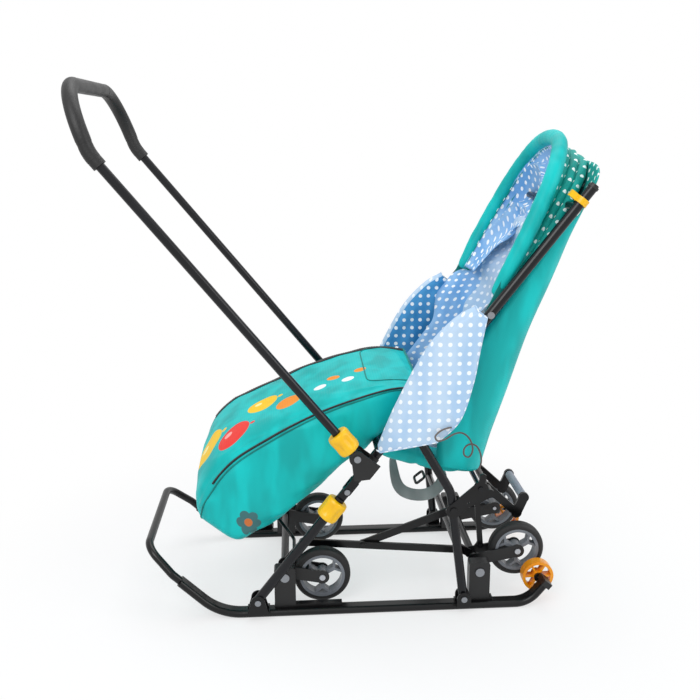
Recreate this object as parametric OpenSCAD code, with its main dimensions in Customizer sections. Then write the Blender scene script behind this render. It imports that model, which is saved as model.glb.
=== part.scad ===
// Folding sled stroller on flat-oval runners, with wheels that a foot pedal lowers.
// Side-view sizes are x (towards the back) and z (up), from the middle of the handle's pivot span.

/* [Runners] */
// Centre line to the middle of each runner
runner_y = 175; // [165:1:185]
// Width of the flat-oval runner tube
runner_w = 30; // [26:1:34]
// Height of the flat-oval runner tube
runner_h = 15; // [12:1:18]
// Height of the runner's middle in the side view
runner_z = 4; // [0:1:6]
// Where the runner's nose ends, lengthwise
nose_x = -236; // [-260:1:-220]
// Where the runner's nose ends, upwards
nose_z = 77; // [60:1:90]
// Corner where the runner turns up to the nose
toe_x = -160; // [-170:1:-150]
// Corner where the runner turns up to the tail
heel_x = 458; // [447:1:467]
// Where the runner's tail ends, lengthwise
tail_x = 489; // [481:1:498]
// Where the runner's tail ends, upwards
tail_z = 42; // [35:1:50]
// Bend radius at the toe
toe_r = 110; // [80:1:130]
// Bend radius at the heel
heel_r = 55; // [40:1:65]
// Diameter of the bar that joins the noses
front_bar_d = 16; // [12:1:18]
// Length of the front bar's legs past the noses
front_bar_reach = 88; // [75:1:100]
// Half the width of the front bar's span
front_bar_half = 148; // [135:1:160]
// Bend radius of the front bar
front_bar_r = 42; // [30:1:50]

/* [Folding frame] */
// Front pivot of the frame, lengthwise
front_pivot_x = -84; // [-90:1:-78]
// Front pivot of the frame, upwards
front_pivot_z = 39; // [36:1:46]
// Rear pivot of the frame, lengthwise
rear_pivot_x = 323; // [315:1:326]
// Rear pivot of the frame, upwards
rear_pivot_z = 30; // [29:1:36]
// Centre line to the middle of the main tubes
frame_y = 192; // [190:1:194]
// Slope of the main tubes
frame_angle = 52; // [48:0.5:56]
// Diameter of the main tubes
main_tube_d = 19; // [16:0.5:20]
// Front pivot to the top of the main tube
frame_len = 1005; // [960:1:1040]
// Front pivot to the folding hinge
hinge_at = 286; // [282:1:292]
// Front pivot to the scissor crossing
scissor_at = 468; // [450:1:480]
// Diameter of the rear legs
rear_leg_d = 18; // [15:0.5:19]
// Bend of the rear leg, lengthwise
rear_bend_x = 296; // [288:1:304]
// Bend of the rear leg, upwards
rear_bend_z = 248; // [235:1:260]
// How far the rear legs lean in at the scissor crossing
rear_lean = 28; // [26:1:32]
// Bend radius of the rear leg
rear_bend_r = 60; // [40:1:90]
// Middle of the lower lock collar, from the front pivot
lower_collar_at = 239; // [230:1:240]
// Diameter of the cross tubes
cross_bar_d = 14; // [10:1:15]
// Where the seat's front cross tube sits, from the front pivot
seat_bar_at = 385; // [380:1:392]
// Where the top cross tube sits, from the front pivot
top_bar_at = 962; // [955:1:970]
// Stretcher between the rear legs, lengthwise
stretcher_x = 310; // [308:1:312]
// Stretcher between the rear legs, upwards
stretcher_z = 136; // [134:1:138]
// Rod that holds the back cover's hem, lengthwise
hem_rod_x = 352; // [350:1:356]
// Rod that holds the back cover's hem, upwards
hem_rod_z = 258; // [254:1:260]
// Diameter of the hem rod
hem_rod_d = 10; // [8:1:12]

/* [Push handle] */
// Centre line to the middle of the handle tubes
handle_y = 225; // [224:1:230]
// Diameter of the handle tube
handle_d = 17; // [14:0.5:18]
// Handle pivot, from the front pivot along the main tube
handle_pivot_at = 360; // [356:1:362]
// Handle pivot, in front of the main tube's middle
handle_pivot_off = 36; // [34:1:40]
// Slope of the handle's long sides, from the back
handle_angle = 129; // [124:0.5:134]
// Pivot to the bend below the grip
handle_side_len = 712; // [660:1:740]
// Slope of the grip loop, from the back
loop_angle = 109; // [104:0.5:116]
// Height of the grip loop past the bend
loop_len = 121; // [120:1:150]
// Bend radius of the loop's corners
loop_r = 98; // [60:1:99]
// Diameter of the rubber grip
grip_d = 27; // [23:1:30]
// Middle of the upper lock collar, from the handle pivot
upper_collar_at = 39; // [39:1:46]
// Diameter of the lock collars
collar_d = 44; // [36:1:44]
// Length of the lock collars
collar_len = 43; // [34:1:43]

/* [Wheels] */
// Diameter of the road wheels
wheel_d = 115; // [104:1:118]
// Width of the road wheels
wheel_w = 26; // [22:1:26]
// Depth of the tyre
tyre_t = 12; // [9:1:14]
// Centre line to the front wheels
front_wheel_y = 134; // [133:1:135]
// Centre line to the rear wheels
rear_wheel_y = 106; // [104:1:106]
// Front axle, lengthwise
front_axle_x = -31; // [-34:1:-28]
// Front axle, upwards
front_axle_z = 76; // [74:1:80]
// Rear axle, lengthwise
rear_axle_x = 359; // [358:1:362]
// Rear axle, upwards
rear_axle_z = 73; // [71:1:76]
// Diameter of the axle tubes
axle_d = 16; // [13:1:17]
// Front axle to its wheels, lengthwise
front_arm_x = 75; // [73:1:78]
// Front axle down to its wheels
front_arm_drop = 15; // [12:1:16]
// Rear axle to its wheels, lengthwise
rear_arm_x = 89; // [86:1:92]
// Rear axle up to its wheels
rear_arm_rise = 16; // [14:1:19]
// Diameter of the wheel bolts
hub_bolt_d = 8; // [6:0.5:9]
// Width of the wheel posts, lengthwise
post_w = 42; // [34:1:42]
// Post above its axle
post_head = 20; // [16:1:24]
// Outer diameter of the transport wheels
transport_d = 64; // [56:1:66]
// Width of the transport wheels
transport_w = 21; // [16:1:21]
// Transport wheel, lengthwise
transport_x = 486; // [484:1:490]
// Transport wheel, upwards
transport_z = 44; // [42:1:46]

/* [Wheel lift] */
// Pin of the front lift lever, behind the front axle
front_pin_x = 37; // [36:1:39]
// Pin of the front lift lever, above the front axle
front_pin_z = 42; // [41:1:44]
// Pin of the rear lift lever, in front of the rear axle
rear_pin_x = 25.3; // [24.5:0.1:26]
// Pin of the rear lift lever, above the rear axle
rear_pin_z = 16.1; // [15:0.1:17]
// Height of the tie bar's strip
tie_bar_h = 16; // [14:1:18]
// Front lift pin to the pedal's pivot along the tie bar
pedal_pivot_at = 124; // [120:1:128]
// Pin between the strut and the rear fork, behind the rear axle
strut_foot_x = 17; // [16:0.5:18]
// Pin between the strut and the rear fork, above the rear axle
strut_foot_z = 19; // [18:0.5:20]
// Pin between the strut and the pedal, lengthwise
strut_top_x = 366; // [364:1:368]
// Pin between the strut and the pedal, upwards
strut_top_z = 196; // [192:1:198]
// Foot bar of the pedal, lengthwise
foot_bar_x = 472; // [468:1:476]
// Foot bar of the pedal, upwards
foot_bar_z = 182; // [178:1:186]
// Length of the foot bar
foot_bar_len = 122; // [110:1:126]
// Diameter of the foot bar's sleeve
foot_bar_d = 18; // [14:1:20]
// Diameter of the lift pins
lift_pin_d = 6; // [5:0.5:7]

/* [Soft goods] */
// Front pivot to the hood's hinge along the main tube
hood_hinge_at = 717; // [700:1:730]
// Slope of the folded hood's front edge
hood_angle = 65; // [62:0.5:67]
// Height of the hood's arch
hood_len = 350; // [330:1:360]
// Half the width of the hood's arch
hood_half = 168; // [160:1:169]
// Thickness of the hood's padded edge
hood_pad_d = 30; // [24:1:32]
// Fan angle of the folded hood cloth
hood_fan = 10; // [8:0.5:12]
// Half the width of the foot muff
muff_half = 158; // [145:1:162]
// Half the width of the seat cushion
seat_half = 144; // [130:1:146]
// Thickness of the seat cushion
seat_t = 52; // [46:1:54]
// Back end of the seat cushion, lengthwise
seat_back_x = 325; // [318:1:328]
// Back end of the seat cushion, upwards
seat_back_z = 277; // [275:1:282]
// Half the width of the back cover at its hem
back_half_low = 148; // [140:1:150]
// Half the width of the back cover at its top
back_half_top = 174; // [168:1:176]
// Top of the back cover, lengthwise
back_top_x = 572; // [562:1:580]
// Top of the back cover, upwards
back_top_z = 874; // [860:1:880]
// Thickness of the cloth walls
cloth_t = 6; // [5:0.5:7]
// Width of the seat strap
strap_w = 26; // [20:1:30]
// Thickness of the seat strap
strap_t = 2.4; // [2:0.1:3]
// Diameter of the tie lace
lace_d = 3.4; // [2.5:0.1:3.5]

/* [Hidden] */
$fn = 64;
// Radial play of a turning or sliding fit
play = 0.05;
// Gap of a fixed fit
seat_gap = 0.02;
// Gap between a soft piece and what carries it
rest_gap = 0.3;
// Plate thicknesses
thin_plate = 3;
plate = 3.5;
thick_plate = 4;
// How far a straight run reaches into a bend, and how much fuller the bend is
weld_in = 0.4;
weld_step = 0.02;
// Width of a link's bar over the width of its eyes
link_waist = 0.92;
// Rivet heads
rivet_r = 6;
rivet_h = 2.5;

runner_top = runner_z + runner_h / 2;
main_r = main_tube_d / 2;
frame_dir = [cos(frame_angle), sin(frame_angle)];
frame_side = [sin(frame_angle), -cos(frame_angle)];
front_pivot = [front_pivot_x, front_pivot_z];
rear_pivot = [rear_pivot_x, rear_pivot_z];
// Point beside the main tube: along it from the front pivot, and behind its middle
function beside(along, behind = 0) = front_pivot + along * frame_dir + behind * frame_side;
scissor = beside(scissor_at);
handle_pivot = beside(handle_pivot_at, -handle_pivot_off);
handle_dir = [cos(handle_angle), sin(handle_angle)];
loop_dir = [cos(loop_angle), sin(loop_angle)];
handle_bend = handle_pivot + handle_side_len * handle_dir;
loop_top = handle_bend + loop_len * loop_dir;
front_axle = [front_axle_x, front_axle_z];
rear_axle = [rear_axle_x, rear_axle_z];
front_hub = front_axle + [front_arm_x, -front_arm_drop];
rear_hub = rear_axle + [rear_arm_x, rear_arm_rise];
front_pin = front_axle + [front_pin_x, front_pin_z];
rear_pin = rear_axle + [-rear_pin_x, rear_pin_z];
tie_dir = (rear_pin - front_pin) / norm(rear_pin - front_pin);
pedal_pivot = front_pin + pedal_pivot_at * tie_dir;
strut_foot = rear_axle + [strut_foot_x, strut_foot_z];
strut_top = [strut_top_x, strut_top_z];
foot_bar = [foot_bar_x, foot_bar_z];
hood_hinge = beside(hood_hinge_at);

// Layers of the lift mechanism on the left side, outwards from the centre line
fork_gap = 2;
front_fork_in = front_wheel_y - wheel_w / 2 - fork_gap - plate;
rear_fork_in = rear_wheel_y - wheel_w / 2 - fork_gap - plate;
tie_bar_t = 6;
layer_gap = 0.4;
front_lever_y = front_fork_in - layer_gap - thick_plate;
tie_bar_y = front_lever_y - layer_gap - tie_bar_t;
pedal_t = 5;
pedal_y = tie_bar_y - layer_gap - pedal_t;
strut_y = rear_fork_in + plate + layer_gap;
strut_t = pedal_y - layer_gap - strut_y;

// Posts stand on the runners, inside the main tubes
post_out = frame_y - main_r - 5.5;
post_in = front_wheel_y + wheel_w / 2 + fork_gap + plate + 0.5;
bracket_in = post_out + 0.6;
bracket_clear = 0.5;

// Reach of the whole stroller, for its middle
front_reach = loop_top.x - grip_d / 2 * sin(loop_angle);
rear_reach = back_top_x + 1.5;
middle_x = (front_reach + rear_reach) / 2;
ground_z = runner_z - runner_h / 2;

// Stands the stroller on the floor with its middle over the origin
module place() {
    translate([-middle_x, 0, -ground_z]) children();
}

// Turns a drawing in x and y into the side view at a distance y from the centre line
module upright(y) {
    translate([0, y, 0]) rotate([90, 0, 0]) children();
}

// A plate of a side-view outline, from y_in out to y_out on the side s
module side_plate(s, y_in, y_out) {
    upright(s > 0 ? y_out : -y_in) linear_extrude(y_out - y_in) children();
}

// A round rod across, from y = a to y = b at a side-view point
module across(p, d, a, b) {
    translate([p.x, a, p.y]) rotate([-90, 0, 0]) cylinder(d = d, h = b - a);
}

// Local z runs along the main tube's slope from the front pivot
module on_frame(y, angle = frame_angle, from = front_pivot) {
    translate([from.x, y, from.y]) rotate([0, 90 - angle, 0]) children();
}

function unit(v) = v / norm(v);
function turn_at(p, i) =
    let (u = unit(p[i] - p[i - 1]), v = unit(p[i + 1] - p[i]))
    atan2(u.x * v.y - u.y * v.x, u * v);
function bend_r_at(r, i) = is_list(r) ? r[i] : r;
function trim_at(p, r, i) =
    i == 0 || i == len(p) - 1 ? 0 : bend_r_at(r, i) * tan(abs(turn_at(p, i)) / 2);

// A bar along corner points: the first child is the profile of its straight runs, which
// reach a little way into the bends of the second child's slightly fuller profile
module bent(p, r) {
    first = unit(p[1] - p[0]);
    translate([p[0].x, p[0].y, 0])
        rotate([0, 0, atan2(first.y, first.x)])
        bent_from(p, r, 0) {
            children(0);
            children(1);
        }
}

// One straight run, its bend, and the rest of the bar from there
module bent_from(p, r, i) {
    last = len(p) - 2;
    run = norm(p[i + 1] - p[i]) - trim_at(p, r, i) - trim_at(p, r, i + 1);
    back = i == 0 ? 0 : weld_in;
    ahead = i == last ? 0 : weld_in;
    translate([-back, 0, 0]) rotate([90, 0, 90]) linear_extrude(run + back + ahead) children(0);
    if (i < last) {
        t = turn_at(p, i + 1);
        bend_r = bend_r_at(r, i + 1);
        translate([run, sign(t) * bend_r, 0]) {
            rotate([0, 0, t > 0 ? -90 : 90 + t])
                rotate_extrude(angle = abs(t)) translate([bend_r, 0]) children(1);
            rotate([0, 0, t]) translate([0, -sign(t) * bend_r, 0]) bent_from(p, r, i + 1) {
                children(0);
                children(1);
            }
        }
    }
}

// A round tube along corner points
module bent_tube(p, r, d, step = weld_step) {
    bent(p, r) {
        circle(d = d);
        circle(d = d + 2 * step);
    }
}

module ring_profile(outer, inner) {
    difference() {
        circle(d = outer);
        circle(d = inner);
    }
}

// A flat bar with round eyes along side-view points; the bar is a little narrower than its eyes
module link_path(p, w) {
    bar_w = w * link_waist;
    for (i = [0 : len(p) - 2]) {
        run = p[i + 1] - p[i];
        translate(p[i]) rotate(atan2(run.y, run.x))
            translate([0, -bar_w / 2]) square([norm(run), bar_w]);
    }
    for (at = p) translate(at) circle(d = w);
}

module link_outline(a, b, w) {
    link_path([a, b], w);
}

// Flat oval of the runner: two half rounds of short facets joined by flats
module runner_profile(less) {
    r = runner_h / 2 - less;
    flat = (runner_w - runner_h) / 2;
    steps = 18;
    polygon([
        for (k = [0 : 2 * steps + 1])
            let (up = k <= steps, a = up ? 180 * k / steps : 180 + 180 * (k - steps - 1) / steps)
            [r * cos(a), r * sin(a) + (up ? flat : -flat)]
    ]);
}

// Runners and what is fixed to them

runner_points = [[nose_x, nose_z], [toe_x, runner_z], [heel_x, runner_z], [tail_x, tail_z]];
nose_slope = atan2(nose_z - runner_z, toe_x - nose_x);
tail_dir = unit([tail_x - heel_x, tail_z - runner_z]);

module runner(s) {
    color("#15151a") place() upright(s * runner_y)
        bent(runner_points, [0, toe_r, heel_r, 0]) {
            runner_profile(0);
            runner_profile(-weld_step);
        }
}

module front_bar() {
    lead = 20;
    points = [
        [-runner_y, 0], [-runner_y, lead], [-front_bar_half, front_bar_reach],
        [front_bar_half, front_bar_reach], [runner_y, lead], [runner_y, 0]
    ];
    color("#1b1d2a") place()
        translate([nose_x, 0, nose_z])
        rotate([0, nose_slope, 0])
        rotate([0, 0, 90])
        bent_tube(points, [0, 20, front_bar_r, front_bar_r, 20, 0], front_bar_d);
}

// Plug on each runner's tail, with the arm and axle of the transport wheel
cap_wall = 2;
cap_len = 12;
transport_arm_out = runner_y - runner_w / 2 - cap_wall - 1.5;
transport_arm_t = 5;
transport_y = transport_arm_out - transport_arm_t - 0.5 - transport_w / 2;
transport_axle_d = 9;

module tail_cap(s) {
    tail = [tail_x, tail_z];
    wheel_at = [transport_x, transport_z];
    arm_in = transport_arm_out - transport_arm_t;
    arm_half = 7;
    arm_root = tail + cap_len * 0.5 * tail_dir;
    arm_side = unit([wheel_at.y - arm_root.y, arm_root.x - wheel_at.x]);
    color("#101012") {
        upright(s * runner_y) translate(tail) rotate(atan2(tail_dir.y, tail_dir.x))
            translate([0, -runner_h / 2 - cap_wall, -runner_w / 2 - cap_wall])
            cube([cap_len, runner_h + 2 * cap_wall, runner_w + 2 * cap_wall]);
        side_plate(s, arm_in, runner_y - runner_w / 2 + 1) translate(arm_root)
            rotate(atan2(tail_dir.y, tail_dir.x)) square([cap_len * 0.7, 12], center = true);
        side_plate(s, arm_in, transport_arm_out) {
            translate(wheel_at) circle(d = 18);
            polygon([
                wheel_at + arm_half * arm_side, arm_root + arm_half * arm_side,
                arm_root - arm_half * arm_side, wheel_at - arm_half * arm_side
            ]);
        }
        across(wheel_at, transport_axle_d,
            s > 0 ? arm_in - transport_w - 2 : -arm_in - transport_arm_t / 2,
            s > 0 ? arm_in + transport_arm_t / 2 : -arm_in + transport_w + 2);
    }
}

module tail_caps() {
    place() for (s = [-1, 1]) tail_cap(s);
}

module transport_wheel(s) {
    at = [transport_x, transport_z];
    rim_t = 6;
    hub_d = 20;
    spokes = 6;
    color("#f2a21b") place()
        translate([at.x, s * transport_y, at.y]) rotate([90, 0, 0])
        difference() {
            union() {
                linear_extrude(transport_w, center = true)
                    ring_profile(transport_d, transport_d - 2 * rim_t);
                linear_extrude(transport_w, center = true) circle(d = hub_d);
                for (k = [0 : spokes - 1]) rotate(360 / spokes * k)
                    translate([hub_d / 2 - 2, -2, -transport_w / 2 + 2])
                    cube([(transport_d - hub_d) / 2 - rim_t + 3, 4, transport_w - 4]);
            }
            cylinder(d = transport_axle_d + 2 * play, h = transport_w + 2, center = true);
        }
}

// Fork bracket on the runner that takes the end of a leg
module leg_bracket(s, at, foot_half, pin_d) {
    leg_half = main_r + bracket_clear;
    base_t = 3.5;
    head_r = min(14, at.y - runner_top - base_t);
    wall_out = frame_y + leg_half + thin_plate;
    color("#111114") difference() {
        union() {
            for (y_in = [frame_y - leg_half - thin_plate, frame_y + leg_half])
                side_plate(s, y_in, y_in + thin_plate) {
                    translate(at) circle(r = head_r);
                    polygon([
                        [at.x - foot_half, runner_top], [at.x + foot_half, runner_top],
                        [at.x + head_r, at.y], [at.x - head_r, at.y]
                    ]);
                }
            side_plate(s, runner_y - 10, wall_out)
                translate([at.x - foot_half, runner_top]) square([2 * foot_half, base_t]);
        }
        across(at, pin_d + 2 * seat_gap, s * frame_y - 30, s * frame_y + 30);
    }
}

leg_pin_d = 8;
front_foot_half = 22;
rear_foot_half = 14;

module leg_brackets() {
    place() for (s = [-1, 1]) {
        leg_bracket(s, front_pivot, front_foot_half, leg_pin_d);
        leg_bracket(s, rear_pivot, rear_foot_half, leg_pin_d);
    }
}

// Plastic post with a foot flange along the runner and a bearing for the axle tube
module wheel_post(s, axle, flange_back) {
    flange_t = 5.5;
    flange_front = 0.5;
    color("#141416") difference() {
        union() {
            side_plate(s, post_in, post_out) {
                translate([axle.x - post_w / 2, runner_top])
                    square([post_w, axle.y - runner_top + post_head - 6]);
                translate([axle.x - post_w / 2 + 6, runner_top])
                    square([post_w - 12, axle.y - runner_top + post_head]);
                for (k = [-1, 1])
                    translate([axle.x + k * (post_w / 2 - 6), axle.y + post_head - 6]) circle(r = 6);
            }
            side_plate(s, runner_y - 13, runner_y + 1)
                translate([axle.x - post_w / 2 - flange_front, runner_top])
                square([post_w + flange_front + flange_back, flange_t]);
        }
        across(axle, axle_d + 2 * play, s * runner_y - 40, s * runner_y + 40);
    }
}

front_flange_back = 92;
rear_flange_back = 6;

module wheel_posts() {
    place() for (s = [-1, 1]) {
        wheel_post(s, front_axle, front_flange_back);
        wheel_post(s, rear_axle, rear_flange_back);
    }
}

post_cap_d = 18;
post_cap_t = 2.5;

module base_rivets() {
    leg_half = main_r + bracket_clear + thin_plate;
    place() for (s = [-1, 1]) {
        for (at = [front_pivot, rear_pivot]) color("#d8d8d8") {
            across(at, leg_pin_d, s * frame_y - leg_half, s * frame_y + leg_half);
            across(at, 2 * rivet_r, s > 0 ? frame_y + leg_half : -frame_y - leg_half - rivet_h,
                s > 0 ? frame_y + leg_half + rivet_h : -frame_y - leg_half);
        }
        for (axle = [front_axle, rear_axle]) color("#6e6e72")
            across(axle, post_cap_d, s > 0 ? post_out : -post_out - post_cap_t,
                s > 0 ? post_out + post_cap_t : -post_out);
    }
}

// Axle tubes, forks and road wheels

module front_axle_tube() {
    color("#9a9aa0") place() {
        across(front_axle, axle_d, -post_out, post_out);
        difference() {
            side_plate(-1, front_lever_y, front_lever_y + thick_plate)
                link_outline(front_axle, front_pin, 18);
            across(front_axle, axle_d - 1, -front_wheel_y - 20, 0);
        }
        across(front_pin, lift_pin_d, -front_lever_y - thick_plate, -tie_bar_y + 1);
    }
}

module rear_axle_tube() {
    lever_y = tie_bar_y - layer_gap - thick_plate;
    color("#9a9aa0") place() {
        across(rear_axle, axle_d, -post_out, post_out);
        difference() {
            side_plate(-1, lever_y, lever_y + thick_plate) link_outline(rear_axle, rear_pin, 18);
            across(rear_axle, axle_d - 1, -front_wheel_y, 0);
        }
        across(rear_pin, lift_pin_d, -tie_bar_y - tie_bar_t - 2, -lever_y);
    }
}

// Two arm plates beside a wheel, bored for the axle tube and the wheel's bolt
module fork(s, axle, hub, wheel_y, inner_y) {
    outer_y = wheel_y + wheel_w / 2 + fork_gap;
    for (y_in = [inner_y, outer_y]) color("#17171a")
        side_plate(s, y_in, y_in + plate) difference() {
            link_outline(axle, hub, 28);
            translate(axle) circle(d = axle_d + 2 * seat_gap);
            translate(hub) circle(d = hub_bolt_d + 2 * seat_gap);
        }
}

module front_forks() {
    place() for (s = [-1, 1]) fork(s, front_axle, front_hub, front_wheel_y, front_fork_in);
}

module rear_forks() {
    lug_d = 14;
    place() {
        for (s = [-1, 1]) fork(s, rear_axle, rear_hub, rear_wheel_y, rear_fork_in);
        color("#17171a") {
            difference() {
                side_plate(-1, rear_fork_in, rear_fork_in + plate)
                    link_outline(rear_axle + [6, 4], strut_foot, lug_d);
                across(rear_axle, axle_d + 2 * seat_gap, -rear_wheel_y, 0);
            }
            across(strut_foot, lift_pin_d, -strut_y - strut_t, -rear_fork_in);
        }
    }
}

// Bolt through a fork and its wheel, with a domed head outside
module hub_bolt(s, hub, wheel_y, inner_y) {
    outer_y = wheel_y + wheel_w / 2 + fork_gap + plate;
    color("#e4e4e4") {
        across(hub, hub_bolt_d, s > 0 ? inner_y - rivet_h : -outer_y,
            s > 0 ? outer_y : -inner_y + rivet_h);
        across(hub, 2 * rivet_r, s > 0 ? outer_y : -outer_y - rivet_h,
            s > 0 ? outer_y + rivet_h : -outer_y);
    }
}

module front_hub_bolts() {
    place() for (s = [-1, 1]) hub_bolt(s, front_hub, front_wheel_y, front_fork_in);
}

module rear_hub_bolts() {
    place() for (s = [-1, 1]) hub_bolt(s, rear_hub, rear_wheel_y, rear_fork_in);
}

rim_seat_d = wheel_d - 2 * tyre_t;

module tyre(s, hub, wheel_y) {
    crown_r = 9;
    half = wheel_w / 2;
    color("#0e0e10") place()
        translate([hub.x, s * wheel_y, hub.y]) rotate([90, 0, 0]) rotate_extrude()
        intersection() {
            translate([rim_seat_d / 2 + seat_gap, -half]) square([tyre_t, wheel_w]);
            union() {
                translate([rim_seat_d / 2, -half]) square([tyre_t - crown_r, wheel_w]);
                translate([wheel_d / 2 - crown_r, -half + crown_r]) circle(r = crown_r);
                translate([wheel_d / 2 - crown_r, half - crown_r]) circle(r = crown_r);
                translate([wheel_d / 2 - crown_r, -half + crown_r])
                    square([crown_r, wheel_w - 2 * crown_r]);
                translate([rim_seat_d / 2, -half]) square([tyre_t - crown_r, wheel_w]);
            }
        }
}

// Three split spokes between the hub and the rim band
module rim(s, hub, wheel_y) {
    band = 6;
    hub_d = 24;
    spokes = 3;
    spoke_w = 6;
    split = 22;
    web = wheel_w - 8;
    fork_at = rim_seat_d / 2 * 0.58;
    foot_at = rim_seat_d / 2 - band / 2;
    color("#8e8e92") place()
        translate([hub.x, s * wheel_y, hub.y]) rotate([90, 0, 0])
        difference() {
            union() {
                linear_extrude(wheel_w, center = true)
                    ring_profile(rim_seat_d, rim_seat_d - 2 * band);
                linear_extrude(wheel_w, center = true) circle(d = hub_d);
                linear_extrude(web, center = true)
                    for (k = [0 : spokes - 1]) rotate(30 + 360 / spokes * k) {
                        link_outline([0, 0], [fork_at, 0], spoke_w + 2);
                        for (m = [-1, 1])
                            link_outline([fork_at, 0],
                                foot_at * [cos(m * split), sin(m * split)], spoke_w - 1);
                    }
            }
            cylinder(d = hub_bolt_d + 2 * play, h = wheel_w + 2, center = true);
        }
}

// Wheel lift: tie bar, pedal lever, foot bar and strut

module tie_bar() {
    loose_pin_d = lift_pin_d + 7;
    color("#1a1c28") place() {
        side_plate(-1, tie_bar_y, tie_bar_y + tie_bar_t) difference() {
            union() {
                link_outline(front_pin, rear_pin, tie_bar_h);
                translate(rear_pin) circle(d = loose_pin_d + 7);
            }
            translate(front_pin) circle(d = lift_pin_d + 2 * play);
            translate(rear_pin) circle(d = loose_pin_d);
        }
        across(pedal_pivot, lift_pin_d, -tie_bar_y, -pedal_y + rivet_h);
        across(pedal_pivot, 2 * rivet_r, -tie_bar_y - tie_bar_t - rivet_h, -tie_bar_y - tie_bar_t);
    }
}

lever_h = 17;
yoke_y = foot_bar_len / 2;
yoke_t = 7;

module pedal_lever() {
    knee = strut_top + [26, 14];
    yoke_foot = foot_bar - [24, 34];
    loose = 0.5;
    color("#141417") place() {
        side_plate(-1, pedal_y, pedal_y + pedal_t) difference() {
            link_path([pedal_pivot, strut_top, knee], lever_h);
            translate(pedal_pivot) circle(d = lift_pin_d + 2 * play);
        }
        across(strut_top, lift_pin_d - loose, -pedal_y, -strut_y);
        across(knee, 14, -pedal_y, yoke_y + yoke_t);
        for (s = [-1, 1]) side_plate(s, yoke_y, yoke_y + yoke_t) {
            link_outline(foot_bar, yoke_foot + [10, 0], 22);
            link_outline(yoke_foot + [10, 0], knee, 18);
        }
        across(foot_bar, 8, -yoke_y, yoke_y);
    }
}

module pedal_sleeve() {
    end_gap = 0.5;
    color("#b9b9bd") place() difference() {
        across(foot_bar, foot_bar_d, -yoke_y + end_gap, yoke_y - end_gap);
        across(foot_bar, 8 + 2 * seat_gap, -yoke_y, yoke_y);
    }
}

module pedal_strut() {
    loose = 0.6;
    color("#202025") place()
        side_plate(-1, strut_y, strut_y + strut_t - layer_gap) difference() {
            link_outline(strut_foot, strut_top, 12);
            translate(strut_foot) circle(d = lift_pin_d + 2 * play);
            translate(strut_top) circle(d = lift_pin_d + loose);
        }
}

// Rear legs and what is fixed to them

leg_lean_angle = atan2(rear_lean, norm(scissor - rear_pivot));
leg_over = 10;

// Side view of the rear legs, turned about the rear pivot so that the legs lean in
module leaning(s) {
    lean_axis = atan2(scissor.y - rear_pivot.y, scissor.x - rear_pivot.x);
    translate([rear_pivot.x, s * frame_y, rear_pivot.y])
        rotate([0, 90 - lean_axis, 0])
        rotate([s * leg_lean_angle, 0, 0])
        rotate([0, lean_axis - 90, 0])
        children();
}

module rear_leg(s) {
    bend = [rear_bend_x, rear_bend_z] - rear_pivot;
    top = scissor - rear_pivot;
    foot = -leg_over * 0.6 * unit(bend);
    head = top + leg_over * unit(top - bend);
    color("#191b28") place() difference() {
        leaning(s) rotate([90, 0, 0]) bent_tube([foot, bend, head], rear_bend_r, rear_leg_d);
        across(rear_pivot, leg_pin_d + 2 * play, s * frame_y - 20, s * frame_y + 20);
    }
}

// Distance of the leaning leg's middle from the centre line at a side-view point
function leg_y_at(p) =
    let (run = scissor - rear_pivot)
    frame_y - rear_lean * ((p - rear_pivot) * run) / (run * run);

module rear_leg_space(s) {
    bend = [rear_bend_x, rear_bend_z] - rear_pivot;
    place() leaning(s) rotate([90, 0, 0])
        rotate(atan2(bend.y, bend.x)) rotate([0, 90, 0])
        cylinder(d = rear_leg_d + 2 * seat_gap, h = norm(bend));
}

module rear_stretcher() {
    at = [stretcher_x, stretcher_z];
    reach = leg_y_at(at);
    color("#191b28") difference() {
        place() across(at, cross_bar_d, -reach, reach);
        for (s = [-1, 1]) rear_leg_space(s);
    }
}

// Notched plates outside the rear legs that carry the hem rod
latch_t = 3.5;
latch_y = leg_y_at([rear_bend_x, rear_bend_z]) + rear_leg_d / 2 + 1.2;

module latch_plates() {
    rod = [hem_rod_x, hem_rod_z];
    root = rear_pivot + 0.84 * ([rear_bend_x, rear_bend_z] - rear_pivot);
    leg_wall = leg_y_at(root) + rear_leg_d / 2 + seat_gap + 1;
    color("#131316") for (s = [-1, 1]) difference() {
        place() latch_plate(s, rod, root, leg_wall);
        rear_leg_space(s);
    }
}

module latch_plate(s, rod, root, leg_wall) {
    union() {
        side_plate(s, latch_y, latch_y + latch_t) difference() {
            union() {
                link_outline(root, rod, 30);
                link_outline(rod, rod + [4, 24], 14);
            }
            translate(root + [28, 18]) circle(d = 6);
            translate(rod) circle(d = hem_rod_d + 2 * seat_gap);
        }
        across(root, 15, s > 0 ? leg_wall : -latch_y - latch_t - rivet_h,
            s > 0 ? latch_y + latch_t + rivet_h : -leg_wall);
    }
}

module hem_rod() {
    over = 3;
    end = latch_y + latch_t + over;
    color("#26262b") place() across([hem_rod_x, hem_rod_z], hem_rod_d, -end, end);
}

// Front legs, main tubes and lock collars

tongue_t = 7;
tongue_w = 17;
fork_wall = (main_tube_d - tongue_t) / 2 - rest_gap - 0.7;
shoulder = 20;
hinge_bolt_d = 6;
leg_end = 10;

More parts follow.
